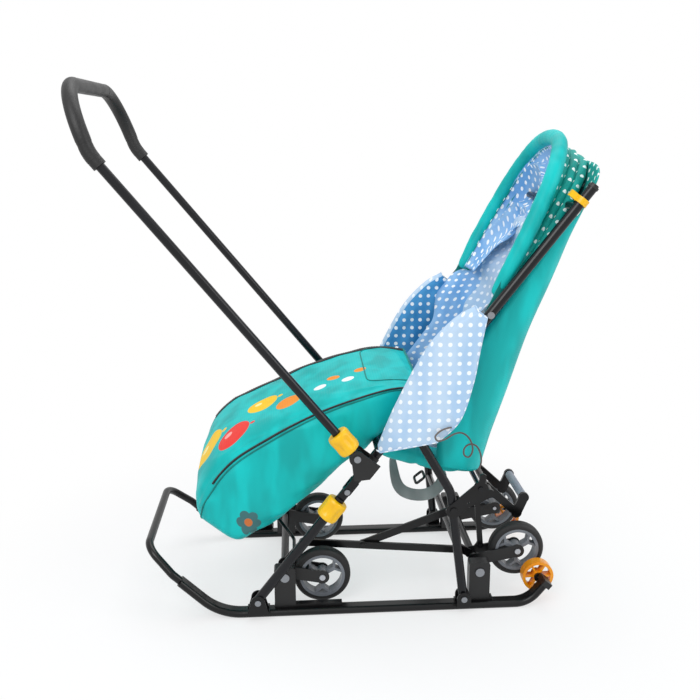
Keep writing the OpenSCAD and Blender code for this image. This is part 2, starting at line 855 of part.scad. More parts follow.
module lower_leg(s) {
    color("#191b28") place() on_frame(s * frame_y) difference() {
        union() {
            translate([0, 0, -leg_end])
                cylinder(d = main_tube_d, h = hinge_at - shoulder + leg_end);
            translate([-tongue_w / 2, -tongue_t / 2, hinge_at - shoulder - 6])
                cube([tongue_w, tongue_t, shoulder + 6]);
            translate([0, -tongue_t / 2, hinge_at]) rotate([-90, 0, 0])
                cylinder(d = tongue_w, h = tongue_t);
        }
        rotate([90, 0, 0]) cylinder(d = leg_pin_d + 2 * play, h = 40, center = true);
        translate([0, 0, hinge_at]) rotate([90, 0, 0])
            cylinder(d = hinge_bolt_d + 2 * play, h = 40, center = true);
    }
}

module main_tube(s) {
    color("#191b28") place() on_frame(s * frame_y) difference() {
        union() {
            translate([0, 0, hinge_at + shoulder])
                cylinder(d = main_tube_d, h = frame_len - hinge_at - shoulder);
            for (k = [-1, 1]) {
                y_low = k > 0 ? tongue_t / 2 + rest_gap : -tongue_t / 2 - rest_gap - fork_wall;
                translate([-tongue_w / 2, y_low, hinge_at])
                    cube([tongue_w, fork_wall, shoulder + 6]);
                translate([0, y_low, hinge_at]) rotate([-90, 0, 0])
                    cylinder(d = tongue_w, h = fork_wall);
            }
        }
        translate([0, 0, hinge_at]) rotate([90, 0, 0])
            cylinder(d = hinge_bolt_d + 2 * seat_gap, h = 40, center = true);
        translate([0, 0, hood_hinge_at]) rotate([90, 0, 0])
            cylinder(d = hood_bolt_d + 2 * seat_gap, h = 40, center = true);
    }
}

hood_bolt_d = 7;
hood_arm_t = 4;
hood_arm_out = frame_y - main_r - 0.5;
handle_bolt_d = 8;
bracket_wall_in = frame_y + main_r + 0.6;
bracket_wall_out = handle_y + handle_d / 2 + 0.6;

// Bolts of the folding hinge, the handle pivot and the hood hinge
module frame_bolts() {
    wall = main_tube_d / 2;
    place() for (s = [-1, 1]) {
        hinge = beside(hinge_at);
        fork_out = tongue_t / 2 + rest_gap + fork_wall;
        color("#d6d6d6") {
            across(hinge, hinge_bolt_d, s * frame_y - fork_out, s * frame_y + fork_out);
            across(hinge, 11, s > 0 ? frame_y + fork_out : -frame_y - fork_out - rivet_h,
                s > 0 ? frame_y + fork_out + rivet_h : -frame_y - fork_out);
            across(handle_pivot, handle_bolt_d, s > 0 ? bracket_wall_in : -bracket_wall_out - thin_plate,
                s > 0 ? bracket_wall_out + thin_plate : -bracket_wall_in);
            across(handle_pivot, 13,
                s > 0 ? bracket_wall_out + thin_plate : -bracket_wall_out - thin_plate - 3,
                s > 0 ? bracket_wall_out + thin_plate + 3 : -bracket_wall_out - thin_plate);
            across(hood_hinge, hood_bolt_d, s > 0 ? hood_arm_out - hood_arm_t - 1 : -frame_y - wall,
                s > 0 ? frame_y + wall : -hood_arm_out + hood_arm_t + 1);
            across(hood_hinge, 13, s > 0 ? frame_y + wall : -frame_y - wall - 2,
                s > 0 ? frame_y + wall + 2 : -frame_y - wall);
        }
    }
}

// Pressed bracket that carries the handle's pivot beside the main tube
bracket_head_r = 15;
bracket_low = 322;
bracket_high = 374;
bracket_web = 10;

module handle_brackets() {
    web_t = 4;
    web_at = -main_r - web_t;
    color("#15161f") place() for (s = [-1, 1]) difference() {
        union() {
            for (y_in = [bracket_wall_in, bracket_wall_out])
                side_plate(s, y_in, y_in + thin_plate) {
                    translate(handle_pivot) circle(r = bracket_head_r);
                    polygon([
                        beside(bracket_low, web_at), beside(bracket_high, web_at),
                        beside(bracket_high, main_r - 2), beside(bracket_low + 20, main_r - 2)
                    ]);
                    polygon([
                        beside(bracket_low, web_at), beside(bracket_high, web_at),
                        beside(bracket_high, -handle_pivot_off),
                        beside(handle_pivot_at - bracket_head_r, -handle_pivot_off)
                    ]);
                }
            side_plate(s, bracket_wall_in, bracket_wall_out + 1) polygon([
                beside(bracket_low + 4, web_at), beside(bracket_high - 4, web_at),
                beside(bracket_high - 4, web_at + bracket_web), beside(bracket_low + 4, web_at + bracket_web)
            ]);
            side_plate(s, bracket_wall_in, handle_y - handle_d / 2 - 0.6)
                translate(handle_pivot) circle(r = 11);
            side_plate(s, frame_y + main_r - 1, bracket_wall_in + 1) polygon([
                beside(bracket_low + 8, -4), beside(bracket_high - 4, -4),
                beside(bracket_high - 4, 4), beside(bracket_low + 8, 4)
            ]);
        }
        across(handle_pivot, handle_bolt_d + 2 * seat_gap, s * handle_y - 40, s * handle_y + 40);
        on_frame(s * frame_y) cylinder(d = main_tube_d + 2 * seat_gap, h = frame_len);
    }
}

module collar_body(bore_d) {
    belly = collar_d / 2;
    lip = belly - 3;
    half = collar_len / 2;
    rotate_extrude() polygon([
        [bore_d / 2 + play, -half], [lip, -half], [belly, -half + 8],
        [belly, half - 8], [lip, half], [bore_d / 2 + play, half]
    ]);
}

module lower_collar(s) {
    color("#f4c20d") place() on_frame(s * frame_y)
        translate([0, 0, lower_collar_at]) collar_body(main_tube_d);
}

module upper_collar(s) {
    color("#f4c20d") place() on_frame(s * handle_y, handle_angle, handle_pivot)
        translate([0, 0, upper_collar_at]) collar_body(handle_d);
}

// Wire stay under the foot muff, from leg to leg
stay_d = 7;
stay_at = 118;
stay_reach = 74;
stay_slope = 137;
stay_half = 120;

module footrest_stay() {
    foot = front_pivot + stay_at * frame_dir;
    tip_half = 60;
    end = frame_y - main_r - seat_gap;
    points = [
        [-end, 0], [-stay_half, 0], [-tip_half, stay_reach],
        [tip_half, stay_reach], [stay_half, 0], [end, 0]
    ];
    color("#101014") place() translate([foot.x, 0, foot.y])
        rotate([0, 180 - stay_slope, 0])
        rotate([0, 0, 90])
        bent_tube(points, 18, stay_d);
}

// Cross tube between the main tubes, saddled on their walls
module frame_cross(along) {
    at = beside(along);
    difference() {
        across(at, cross_bar_d, -frame_y, frame_y);
        for (s = [-1, 1]) on_frame(s * frame_y)
            cylinder(d = main_tube_d + 2 * seat_gap, h = frame_len);
    }
}

module seat_front_bar() {
    color("#191b28") place() frame_cross(seat_bar_at);
}

module top_bar() {
    color("#191b28") place() frame_cross(top_bar_at);
}

module tube_caps() {
    cap_t = 8;
    color("#0d0d0f") place() for (s = [-1, 1]) on_frame(s * frame_y)
        translate([0, 0, frame_len]) {
            cylinder(d = main_tube_d + 2, h = cap_t - 3);
            translate([0, 0, cap_t - 3]) cylinder(d = main_tube_d - 3, h = 3);
        }
}

// Plastic strap clips that hold the hood's corners to the main tubes
clip_at = top_bar_at + cross_bar_d / 2 + 0.6;
clip_len = 12;
clip_wall = 3;

module hood_clips() {
    color("#f4c20d") place() for (s = [-1, 1]) on_frame(s * frame_y) translate([0, 0, clip_at])
        difference() {
            union() {
                cylinder(d = main_tube_d + 2 * clip_wall, h = clip_len);
                translate([-main_r - 18, -4, 0]) cube([18, 8, clip_len]);
            }
            translate([0, 0, -1]) cylinder(d = main_tube_d + 2 * seat_gap, h = clip_len + 2);
        }
}

// Push handle

// The loop's tube takes the ends of the sides a little way into it
handle_step = 0.3;
loop_d = handle_d + 0.8;
// Bend of the sides into the loop, and the straight part before its corners
side_bend_r = 70;
loop_lead = loop_len - loop_r;

module handle_tube() {
    eye_over = 11;
    foot = -eye_over * handle_dir;
    bend = handle_side_len * handle_dir;
    stub = bend + (loop_lead - 0.5) * loop_dir;
    color("#191b28") place() {
        for (s = [-1, 1]) difference() {
            translate([handle_pivot.x, 0, handle_pivot.y]) upright(s * handle_y)
                bent_tube([foot, bend, stub], side_bend_r, handle_d, handle_step);
            across(handle_pivot, handle_bolt_d + 2 * play, s * handle_y - 30, s * handle_y + 30);
        }
        loop_frame() bent_tube(loop_points(loop_lead - 6), loop_r, loop_d, handle_step);
    }
}

// Plane of the grip loop: local x across, local y up the loop
module loop_frame() {
    translate([handle_bend.x, 0, handle_bend.y])
        rotate([0, 180 - loop_angle, 0])
        rotate([0, 0, 90])
        children();
}

function loop_points(start) = [
    [-handle_y, start], [-handle_y, loop_len], [handle_y, loop_len], [handle_y, start]
];

// The grip covers the loop and runs on past the bends, onto the sides
module handle_grip() {
    grip_below = 27;
    bore = loop_d + 2 * handle_step + 2 * seat_gap;
    sleeve_d = grip_d - 1;
    sleeve_bore = bore + 0.4;
    bend = handle_bend;
    color("#0c0c0e") place() {
        for (s = [-1, 1]) upright(s * handle_y)
            bent([bend - grip_below * handle_dir, bend, bend + (loop_lead - 0.5) * loop_dir], side_bend_r) {
                ring_profile(sleeve_d - 2 * handle_step, sleeve_bore + 2 * handle_step);
                ring_profile(sleeve_d, sleeve_bore);
            }
        loop_frame() bent(loop_points(loop_lead - 5), loop_r) {
            ring_profile(grip_d - 2 * handle_step, bore + 2 * handle_step);
            ring_profile(grip_d, bore);
        }
    }
}

// Soft goods: rings and grids of points made into closed solids

function blend4(a, b, c, d, t) =
    b + (c - a) * t / 2
    + (2 * a - 5 * b + 4 * c - d) * t * t / 2
    + (3 * b - a - 3 * c + d) * t * t * t / 2;
// Smooth curve through every point, with n steps between neighbours
function smooth(p, n) = [
    for (i = [0 : len(p) - 2], k = [0 : n - 1])
        blend4(p[max(i - 1, 0)], p[i], p[i + 1], p[min(i + 2, len(p) - 1)], k / n),
    p[len(p) - 1]
];
function power_sign(v, e) = sign(v) * pow(abs(v), e);

// A closed solid through rings of equal point counts
module loft(rings) {
    n = len(rings);
    m = len(rings[0]);
    points = [for (ring = rings) each ring];
    sides = [
        for (i = [0 : n - 2], j = [0 : m - 1]) let (k = (j + 1) % m)
            each [[i * m + j, (i + 1) * m + j, i * m + k], [i * m + k, (i + 1) * m + j, (i + 1) * m + k]]
    ];
    caps = [
        for (j = [1 : m - 2])
            each [[0, j, j + 1], [(n - 1) * m, (n - 1) * m + j + 1, (n - 1) * m + j]]
    ];
    polyhedron(points, concat(sides, caps));
}

// A closed solid between an outer and an inner grid
module skin(outer, inner) {
    rows = len(outer);
    cols = len(outer[0]);
    size = rows * cols;
    points = concat([for (row = outer) each row], [for (row = inner) each row]);
    faces = [
        for (i = [0 : rows - 2], j = [0 : cols - 2])
            let (a = i * cols + j, b = a + 1, c = a + cols, d = c + 1)
            each [[a, b, c], [b, d, c], [size + a, size + c, size + b], [size + b, size + c, size + d]]
    ];
    ends = [
        for (j = [0 : cols - 2])
            let (a = j, b = j + 1, c = (rows - 1) * cols + j, d = c + 1)
            each [[a, size + a, b], [b, size + a, size + b], [c, d, size + c], [d, size + d, size + c]]
    ];
    edges = [
        for (i = [0 : rows - 2])
            let (a = i * cols, c = a + cols, b = a + cols - 1, d = b + cols)
            each [[a, c, size + a], [c, size + c, size + a], [b, size + b, d], [d, size + b, size + d]]
    ];
    polyhedron(points, concat(faces, ends, edges));
}

// Foot muff: underside and top of its side view from toe to lap, with its share of the half width
muff_stations = [
    [-158, 158, -190, 180, 0.62], [-124, 150, -207, 222, 0.90], [-78, 182, -195, 278, 1],
    [-28, 238, -149, 338, 1], [30, 298, -63, 386, 1], [86, 344, 29, 427, 0.99],
    [136, 358, 108, 452, 0.97], [190, 380, 181, 466, 0.93], [238, 402, 238, 461, 0.86]
];

muff_wall = 9;
// The leg space inside: the same stations drawn in by the wall, and on past the open lap end
muff_inside = [
    for (i = [1 : len(muff_stations) - 1])
        let (st = muff_stations[i], up = muff_wall * unit([st[2] - st[0], st[3] - st[1]]))
        [st[0] + up.x, st[1] + up.y, st[2] - up.x, st[3] - up.y, st[4] - muff_wall / muff_half]
];
muff_mouth = 2 * muff_inside[len(muff_inside) - 1] - muff_inside[len(muff_inside) - 2];

module muff_form(stations, steps) {
    sides = 28;
    corner = 0.42;
    rings = [
        for (st = smooth(stations, steps)) [
            for (j = [0 : sides - 1])
                let (
                    a = 360 / sides * j,
                    up = (1 + power_sign(sin(a), corner)) / 2,
                    crown = 1 - 0.06 * pow(abs(sin(a)), 2)
                )
                [
                    st[0] + (st[2] - st[0]) * up,
                    muff_half * st[4] * crown * power_sign(cos(a), corner),
                    st[1] + (st[3] - st[1]) * up
                ]
        ]
    ];
    loft(rings);
}

module foot_muff() {
    color("#12c4bc") place() difference() {
        muff_form(muff_stations, 2);
        muff_form(concat(muff_inside, [muff_mouth]), 1);
        across(beside(seat_bar_at), cross_bar_d + 2 * rest_gap, -frame_y, frame_y);
    }
}

// Side panel of the liner, draped outside the main tubes from the lap to the hood
panel_front = [[156, 344], [194, 431], [246, 534], [296, 590], [334, 612]];
panel_back = [[262, 361], [304, 402], [327, 472], [339, 541], [350, 600]];
panel_in = frame_y + main_r + 1;

module side_panel(s) {
    steps = 12;
    bulge = 1.6;
    fold = 1.2;
    folds = 3;
    front = smooth(panel_front, 3);
    back = smooth(panel_back, 3);
    rows = len(front) - 1;
    function wall(out) = [
        for (i = [0 : rows]) [
            for (j = [0 : steps])
                let (
                    u = j / steps,
                    p = front[i] + (back[i] - front[i]) * u,
                    swell = bulge * sin(180 * u) * sin(180 * i / rows),
                    wave = fold * sin(360 * folds * u) * (1 - i / rows)
                )
                [p.x, s * (panel_in + fold + swell + wave + out), p.y]
        ]
    ];
    color("#a9d3f0") place()
        if (s > 0) skin(wall(0), wall(cloth_t - 2));
        else skin(wall(cloth_t - 2), wall(0));
}

// Back cover: a soft trough behind the main tubes, from the hem rod to the top
cover_rows = 14;
cover_cols = 24;

module back_cover() {
    hem_front = beside(seat_bar_at + 98, main_r + 20);
    hem_back = [hem_rod_x + 20, hem_rod_z + 10];
    top_front = beside(frame_len - 28, main_r + 1);
    top_back = [back_top_x, back_top_z];
    sag = 6;
    fold = 3;
    corner = 0.55;
    function wall(t) = [
        for (i = [0 : cover_rows]) [
            for (j = [0 : cover_cols])
                let (
                    v = i / cover_rows,
                    a = -90 + 180 / cover_cols * j,
                    front = hem_front + (top_front - hem_front) * v,
                    back = hem_back + (top_back - hem_back) * v - [sag * sin(180 * v), 0]
                        + fold * sin(540 * v) * [1, 0],
                    half = back_half_low + (back_half_top - back_half_low) * pow(v, 0.7),
                    deep = pow(abs(cos(a)), corner),
                    in_dir = unit(front - back),
                    p = front + (back - front) * deep + t * deep * in_dir
                )
                [p.x, (half - t) * power_sign(sin(a), corner), p.y]
        ]
    ];
    color("#11b9b2") place() difference() {
        skin(wall(0), wall(cloth_t));
        across([hem_rod_x, hem_rod_z], hem_rod_d + 2 * rest_gap, -frame_y, frame_y);
        across(beside(top_bar_at), cross_bar_d + 2 * rest_gap, -frame_y, frame_y);
    }
}

// Hood: arms on the hinge bolts, padded edge and folded cloth

// Arch of the hood in its own plane: distance across and up from the hinge
hood_arch = [[1, 0.13], [1.03, 0.33], [0.98, 0.58], [0.84, 0.79], [0.55, 0.94], [0.2, 0.995]];
hood_half_arch = [for (p = hood_arch) [-p.x * hood_half, p.y * hood_len]];
hood_path = smooth(concat(hood_half_arch, [for (i = [5 : -1 : 0]) [-hood_half_arch[i].x, hood_half_arch[i].y]]), 3);

// Point of the hood's plane at a slope: across, up, and off the plane's front
function hood_point(p, slope, off = 0) = [
    hood_hinge.x + p.y * cos(slope) - off * sin(slope),
    p.x,
    hood_hinge.y + p.y * sin(slope) + off * cos(slope)
];

module hood_arms() {
    arm_w = 14;
    arm_end = [cos(hood_angle), sin(hood_angle)] * hood_arch[0].y * hood_len;
    color("#1b1d2a") place() for (s = [-1, 1])
        side_plate(s, hood_arm_out - hood_arm_t, hood_arm_out) difference() {
            link_outline(hood_hinge, hood_hinge + arm_end * 1.5, arm_w);
            translate(hood_hinge) circle(d = hood_bolt_d + 2 * play);
        }
}

module hood_edge() {
    sides = 14;
    last = len(hood_path) - 1;
    end_share = 0.72;
    rings = [
        for (i = [0 : last])
            let (
                ahead = hood_path[min(i + 1, last)] - hood_path[max(i - 1, 0)],
                run = unit(ahead),
                out = [-run.y, run.x],
                share = end_share + (1 - end_share) * sin(180 * i / last),
                r = hood_pad_d / 2 * share
            )
            [
                for (j = [0 : sides - 1])
                    let (a = 360 / sides * j)
                    hood_point(hood_path[i] + r * cos(a) * out, hood_angle, r * sin(a))
            ]
    ];
    color("#0fbdb5") place() difference() {
        loft(rings);
        for (s = [-1, 1])
            side_plate(s, hood_arm_out - hood_arm_t - rest_gap, hood_arm_out + 20)
            link_outline(hood_hinge, hood_hinge + [cos(hood_angle), sin(hood_angle)] * hood_len * 0.3, 16);
    }
}

module hood_cover() {
    folds = 3;
    pages = 12;
    fold_depth = 5;
    lift = 0.16;
    last = len(hood_path) - 1;
    start_slope = hood_angle - atan2(hood_pad_d / 2 + 2, hood_len) - 0.6;
    function page(i, j, t) =
        let (
            v = j / pages,
            p = hood_path[i],
            high = max(p.y / hood_len - lift, 0) / (1 - lift),
            ripple = fold_depth * sin(360 * folds * v) * high,
            scale_in = (hood_len - 6 + ripple - t) / hood_len,
            side_in = (hood_half - 14 - t) / hood_half,
            slope = start_slope - hood_fan * v * (0.55 + 0.45 * high)
        )
        hood_point([p.x * side_in, p.y * scale_in], slope);
    function wall(t) = [for (i = [2 : last - 2]) [for (j = [0 : pages]) page(i, j, t)]];
    color("#0fa59f") place() difference() {
        skin(wall(0), wall(cloth_t));
        across(beside(top_bar_at), cross_bar_d + 2 * rest_gap, -frame_y, frame_y);
    }
}

// Seat cushion on the front cross tube
module seat_cushion() {
    sides = 20;
    stations = 14;
    bar = beside(seat_bar_at);
    front = seat_front;
    back = [seat_back_x, seat_back_z];
    up = [-seat_run.y, seat_run.x];
    rings = [
        for (i = [0 : stations])
            let (
                v = i / stations,
                mid = front + (back - front) * v,
                full = pow(max(1 - pow(abs(2 * v - 1), 4), 0.04), 0.5),
                waist = 1 - 0.03 * sin(180 * v)
            )
            [
                for (j = [0 : sides - 1])
                    let (
                        a = 360 / sides * j,
                        q = mid + up * seat_t / 2 * full * power_sign(sin(a), 0.8)
                    )
                    [q.x, -seat_half * waist * (0.9 + 0.1 * full) * power_sign(cos(a), 0.45), q.y]
            ]
    ];
    color("#10b8b0") place() difference() {
        loft(rings);
        across(bar, cross_bar_d + 2 * rest_gap, -frame_y, frame_y);
        // The cushion stops behind the bar, clear of the muff
        translate([bar.x - 40, -frame_y, bar.y - 60]) cube([40, 2 * frame_y, 160]);
    }
}

// Webbing loop under the seat, between two points of the cushion's underside
strap_y = -70;
seat_front = beside(seat_bar_at) + [-2, -15];
seat_run = unit([seat_back_x, seat_back_z] - seat_front);
function under_seat(share, below) =
    seat_front + ([seat_back_x, seat_back_z] - seat_front) * share
    - [-seat_run.y, seat_run.x] * (seat_t / 2 + below);
strap_points = [
    under_seat(0.3, 0.9), under_seat(0.36, 58), under_seat(0.56, 58), under_seat(0.78, 0.9)
];

module seat_strap() {
    color("#7d8684") place() upright(strap_y)
        bent(strap_points, 12) {
            square([strap_t - 2 * weld_step, strap_w - 2 * weld_step], center = true);
            square([strap_t, strap_w], center = true);
        }
}

// Tie lace: route of the cord from the side panel's tie point
lace_route = [
    [288, -208.1, 392], [278, -212.5, 392], [266, -213.5, 387], [257, -213.5, 377], [262, -213.5, 368],
    [276, -213.5, 371], [290, -214.5, 380], [304, -216, 384], [317, -216, 377], [326, -216, 362],
    [328, -215, 346], [322, -213, 334], [313, -212, 338], [313, -212, 351], [323, -212, 359],
    [336, -212, 355], [344, -212, 340], [346, -212, 324], [343, -212, 308]
];

module tie_lace() {
    sides = 8;
    route = smooth(lace_route, 3);
    last = len(route) - 1;
    rings = [
        for (i = [0 : last])
            let (
                run = unit(route[min(i + 1, last)] - route[max(i - 1, 0)]),
                out = unit(cross(run, [0, 1, 0])),
                side = cross(out, run)
            )
            [
                for (j = [0 : sides - 1])
                    let (a = 360 / sides * j)
                    route[i] + lace_d / 2 * (cos(a) * out + sin(a) * side)
            ]
    ];
    color("#8b8279") place() loft(rings);
}

runner(-1);  // runner_left
runner(1);  // runner_right
front_bar();
tail_caps();
leg_brackets();
wheel_posts();
base_rivets();
transport_wheel(-1);  // transport_wheel_left
transport_wheel(1);  // transport_wheel_right
front_axle_tube();
front_forks();
front_hub_bolts();
rear_axle_tube();
rear_forks();
rear_hub_bolts();
tyre(-1, front_hub, front_wheel_y);  // front_tyre_left
rim(-1, front_hub, front_wheel_y);  // front_rim_left
tyre(1, front_hub, front_wheel_y);  // front_tyre_right
rim(1, front_hub, front_wheel_y);  // front_rim_right
tyre(-1, rear_hub, rear_wheel_y);  // rear_tyre_left
rim(-1, rear_hub, rear_wheel_y);  // rear_rim_left
tyre(1, rear_hub, rear_wheel_y);  // rear_tyre_right
rim(1, rear_hub, rear_wheel_y);  // rear_rim_right
tie_bar();
pedal_lever();
pedal_sleeve();
pedal_strut();
rear_leg(-1);  // rear_leg_left
rear_leg(1);  // rear_leg_right
rear_stretcher();
latch_plates();
hem_rod();
lower_leg(-1);  // lower_leg_left
lower_leg(1);  // lower_leg_right
footrest_stay();
lower_collar(-1);  // lower_collar_left
lower_collar(1);  // lower_collar_right
upper_collar(-1);  // upper_collar_left
upper_collar(1);  // upper_collar_right
main_tube(-1);  // main_tube_left
main_tube(1);  // main_tube_right
frame_bolts();
handle_brackets();
seat_front_bar();
top_bar();
tube_caps();
hood_clips();
foot_muff();
side_panel(-1);  // side_panel_left
side_panel(1);  // side_panel_right
back_cover();
handle_tube();
handle_grip();
hood_arms();
hood_edge();
hood_cover();
seat_cushion();
seat_strap();
tie_lace();
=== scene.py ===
"""Dresses the folding sled stroller: enamelled tubes, moulded fittings and padded nylon soft goods."""

import logging
import math
from dataclasses import dataclass
from enum import Enum
from typing import Any, Sequence

import bmesh
import bpy
import numpy as np
from bpy.types import Material, NodeSocket, NodeTree, Object, World
from mathutils import Matrix, Vector

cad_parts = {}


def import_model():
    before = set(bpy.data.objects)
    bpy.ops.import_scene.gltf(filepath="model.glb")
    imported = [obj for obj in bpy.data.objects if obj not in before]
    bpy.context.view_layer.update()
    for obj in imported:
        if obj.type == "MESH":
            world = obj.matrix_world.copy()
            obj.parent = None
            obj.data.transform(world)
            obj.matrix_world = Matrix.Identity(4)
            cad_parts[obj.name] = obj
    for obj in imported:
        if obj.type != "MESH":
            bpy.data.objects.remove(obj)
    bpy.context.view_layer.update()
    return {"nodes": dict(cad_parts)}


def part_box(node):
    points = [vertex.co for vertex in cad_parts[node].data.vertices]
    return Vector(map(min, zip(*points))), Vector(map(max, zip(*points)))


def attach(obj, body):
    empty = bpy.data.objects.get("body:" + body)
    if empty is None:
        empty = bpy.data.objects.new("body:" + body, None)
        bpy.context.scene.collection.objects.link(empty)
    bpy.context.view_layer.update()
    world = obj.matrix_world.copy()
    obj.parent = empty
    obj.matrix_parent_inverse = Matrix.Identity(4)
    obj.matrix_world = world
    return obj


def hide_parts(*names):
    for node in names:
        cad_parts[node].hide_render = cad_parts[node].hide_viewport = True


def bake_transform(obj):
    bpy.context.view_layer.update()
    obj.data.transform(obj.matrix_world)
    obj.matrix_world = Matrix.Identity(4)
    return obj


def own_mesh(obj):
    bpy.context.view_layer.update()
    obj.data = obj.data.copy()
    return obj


LOG = logging.getLogger("sled_stroller")

# Side-view millimetres become the frame's metres by these two shifts.
MIDDLE_X = 91.268
SOLE_Z = -3.5
MM = 0.001

# The main tubes lean back from this side-view point.
FRAME_FOOT = np.array([-84.0, 39.0])
FRAME_LEAN = math.radians(52.0)
FRAME_RUN = np.array([math.cos(FRAME_LEAN), math.sin(FRAME_LEAN)])
FRAME_BACK = np.array([FRAME_RUN[1], -FRAME_RUN[0]])


class Side(Enum):
    """Which side of the child a piece is on, as the sign of its y."""

    LEFT = -1
    RIGHT = 1

    @property
    def word(self) -> str:
        """Gives the side's word in node and body names."""
        return self.name.lower()


# Small geometry tools


def to_frame(points: Any) -> np.ndarray:
    """Carries side-view millimetres, x, y and z on the last axis, into the frame's metres."""
    return (np.asarray(points, float) - np.array([MIDDLE_X, 0.0, SOLE_Z])) * MM


def with_y(flat: np.ndarray, y: np.ndarray) -> np.ndarray:
    """Puts the place across between x and z of side-view points, and carries them into the frame."""
    return to_frame(np.stack([flat[..., 0], y, flat[..., 1]], -1))


def beside(along: Any, behind: Any = 0.0) -> np.ndarray:
    """Gives side-view points at distances up the leaning frame and behind its line, in millimetres."""
    return FRAME_FOOT + np.asarray(along)[..., None] * FRAME_RUN + np.asarray(behind)[..., None] * FRAME_BACK


def spline(points: Any, steps: int) -> np.ndarray:
    """Runs a smooth curve through every point, as a Catmull-Rom cubic on each span.

    Args:
        points: Rows of any width.
        steps: Samples per span.

    Returns:
        Sampled rows, the last point included.
    """
    p = np.asarray(points, float)
    q = np.vstack([p[:1], p, p[-1:]])
    a, b, c, d = (q[k : len(q) - 3 + k, None] for k in range(4))
    t = (np.arange(steps) / steps)[None, :, None]
    bend = (2 * a - 5 * b + 4 * c - d) * t**2 / 2 + (3 * b - a - 3 * c + d) * t**3 / 2
    body = b + (c - a) * t / 2 + bend
    return np.vstack([body.reshape(-1, p.shape[1]), p[-1:]])


def arc_lengths(points: np.ndarray) -> np.ndarray:
    """Gives the distance along a line at each of its points."""
    return np.concatenate([[0.0], np.cumsum(np.linalg.norm(np.diff(points, axis=0), axis=1))])


def resample(points: np.ndarray, count: int) -> np.ndarray:
    """Spaces rows evenly along a line by its arc length.

    Args:
        points: Rows of any width.
        count: How many rows to give.

    Returns:
        The rows, the first and last points included.
    """
    far = arc_lengths(points)
    want = np.linspace(0.0, far[-1], count)
    return np.stack([np.interp(want, far, column) for column in points.T], -1)


def unit(v: np.ndarray) -> np.ndarray:
    """Scales vectors on the last axis to length one."""
    return v / np.maximum(np.linalg.norm(v, axis=-1, keepdims=True), 1e-12)


def signed_power(v: np.ndarray, e: float) -> np.ndarray:
    """Raises the size of v to a power and keeps its sign."""
    return np.sign(v) * np.abs(v) ** e


def bell(value: np.ndarray, middle: float, width: float) -> np.ndarray:
    """Gives a bell curve that is 1 at its middle."""
    return np.exp(-(((value - middle) / width) ** 2))


def smooth_step(value: np.ndarray, low: float, high: float) -> np.ndarray:
    """Rises from 0 at low to 1 at high with a level start and end."""
    share = np.clip((value - low) / (high - low), 0, 1)
    return share * share * (3 - 2 * share)


def waves(u: np.ndarray, v: np.ndarray, seed: int, count: int = 7, top: float = 3.0) -> np.ndarray:
    """Sums a few seeded sine waves of two parameters, for slack in cloth.

    Args:
        u: First parameter, about 0 to 1.
        v: Second parameter, about 0 to 1.
        seed: Fixes the waves.
        count: How many waves.
        top: Highest number of waves over the parameters.

    Returns:
        Values of about -1 to 1.
    """
    rng = np.random.default_rng(seed)
    f = rng.uniform(0.6, top, (count, 2)) * rng.choice([-1, 1], (count, 2))
    phase = rng.uniform(0, 2 * np.pi, count)
    total = sum(np.sin(2 * np.pi * (f[k, 0] * u + f[k, 1] * v) + phase[k]) for k in range(count))
    return total / math.sqrt(count) / 1.4


def surface(
    name: str,
    grid: np.ndarray,
    uv: np.ndarray | None = None,
    wrap: tuple[bool, bool] = (False, False),
    flip: bool = False,
    smooth: bool = True,
) -> Object:
    """Makes a mesh of quads through a grid of points.

    Args:
        name: Object name.
        grid: Points, rows by columns by 3, in metres.
        uv: Surface coordinates in metres; one more row or column where that way wraps.
        wrap: Whether rows and columns close on themselves.
        flip: Turns the faces round.
        smooth: Shades the faces smooth.

    Returns:
        The linked object.
    """
    rows, cols = grid.shape[:2]
    index = np.arange(rows * cols).reshape(rows, cols)
    if wrap[0]:
        index = np.vstack([index, index[:1]])
    if wrap[1]:
        index = np.hstack([index, index[:, :1]])
    near, far = slice(None, -1), slice(1, None)
    corner = [(near, near), (far, near), (far, far), (near, far)]
    if flip:
        corner = corner[::-1]
    quads = np.stack([index[c] for c in corner], -1).reshape(-1, 4)
    mesh = bpy.data.meshes.new(name)
    mesh.from_pydata(grid.reshape(-1, 3).tolist(), [], quads.tolist())
    if uv is not None:
        layer = mesh.uv_layers.new(name="cloth")
        loops = np.stack([uv[c] for c in corner], -2).reshape(-1, 2)
        layer.data.foreach_set("uv", loops.astype(np.float32).ravel())
    mesh.polygons.foreach_set("use_smooth", np.full(len(quads), smooth))
    mesh.update()
    made = bpy.data.objects.new(name, mesh)
    bpy.context.scene.collection.objects.link(made)
    return made


def merge_close(made: Object, gap: float = 1e-5) -> None:
    """Merges doubled points of a mesh and turns its faces outwards.

    Args:
        made: The object.
        gap: Distance in metres below which points are one.
    """
    bm = bmesh.new()
    bm.from_mesh(made.data)
    bmesh.ops.remove_doubles(bm, verts=bm.verts, dist=gap)
    bmesh.ops.recalc_face_normals(bm, faces=bm.faces)
    bm.to_mesh(made.data)
    bm.free()


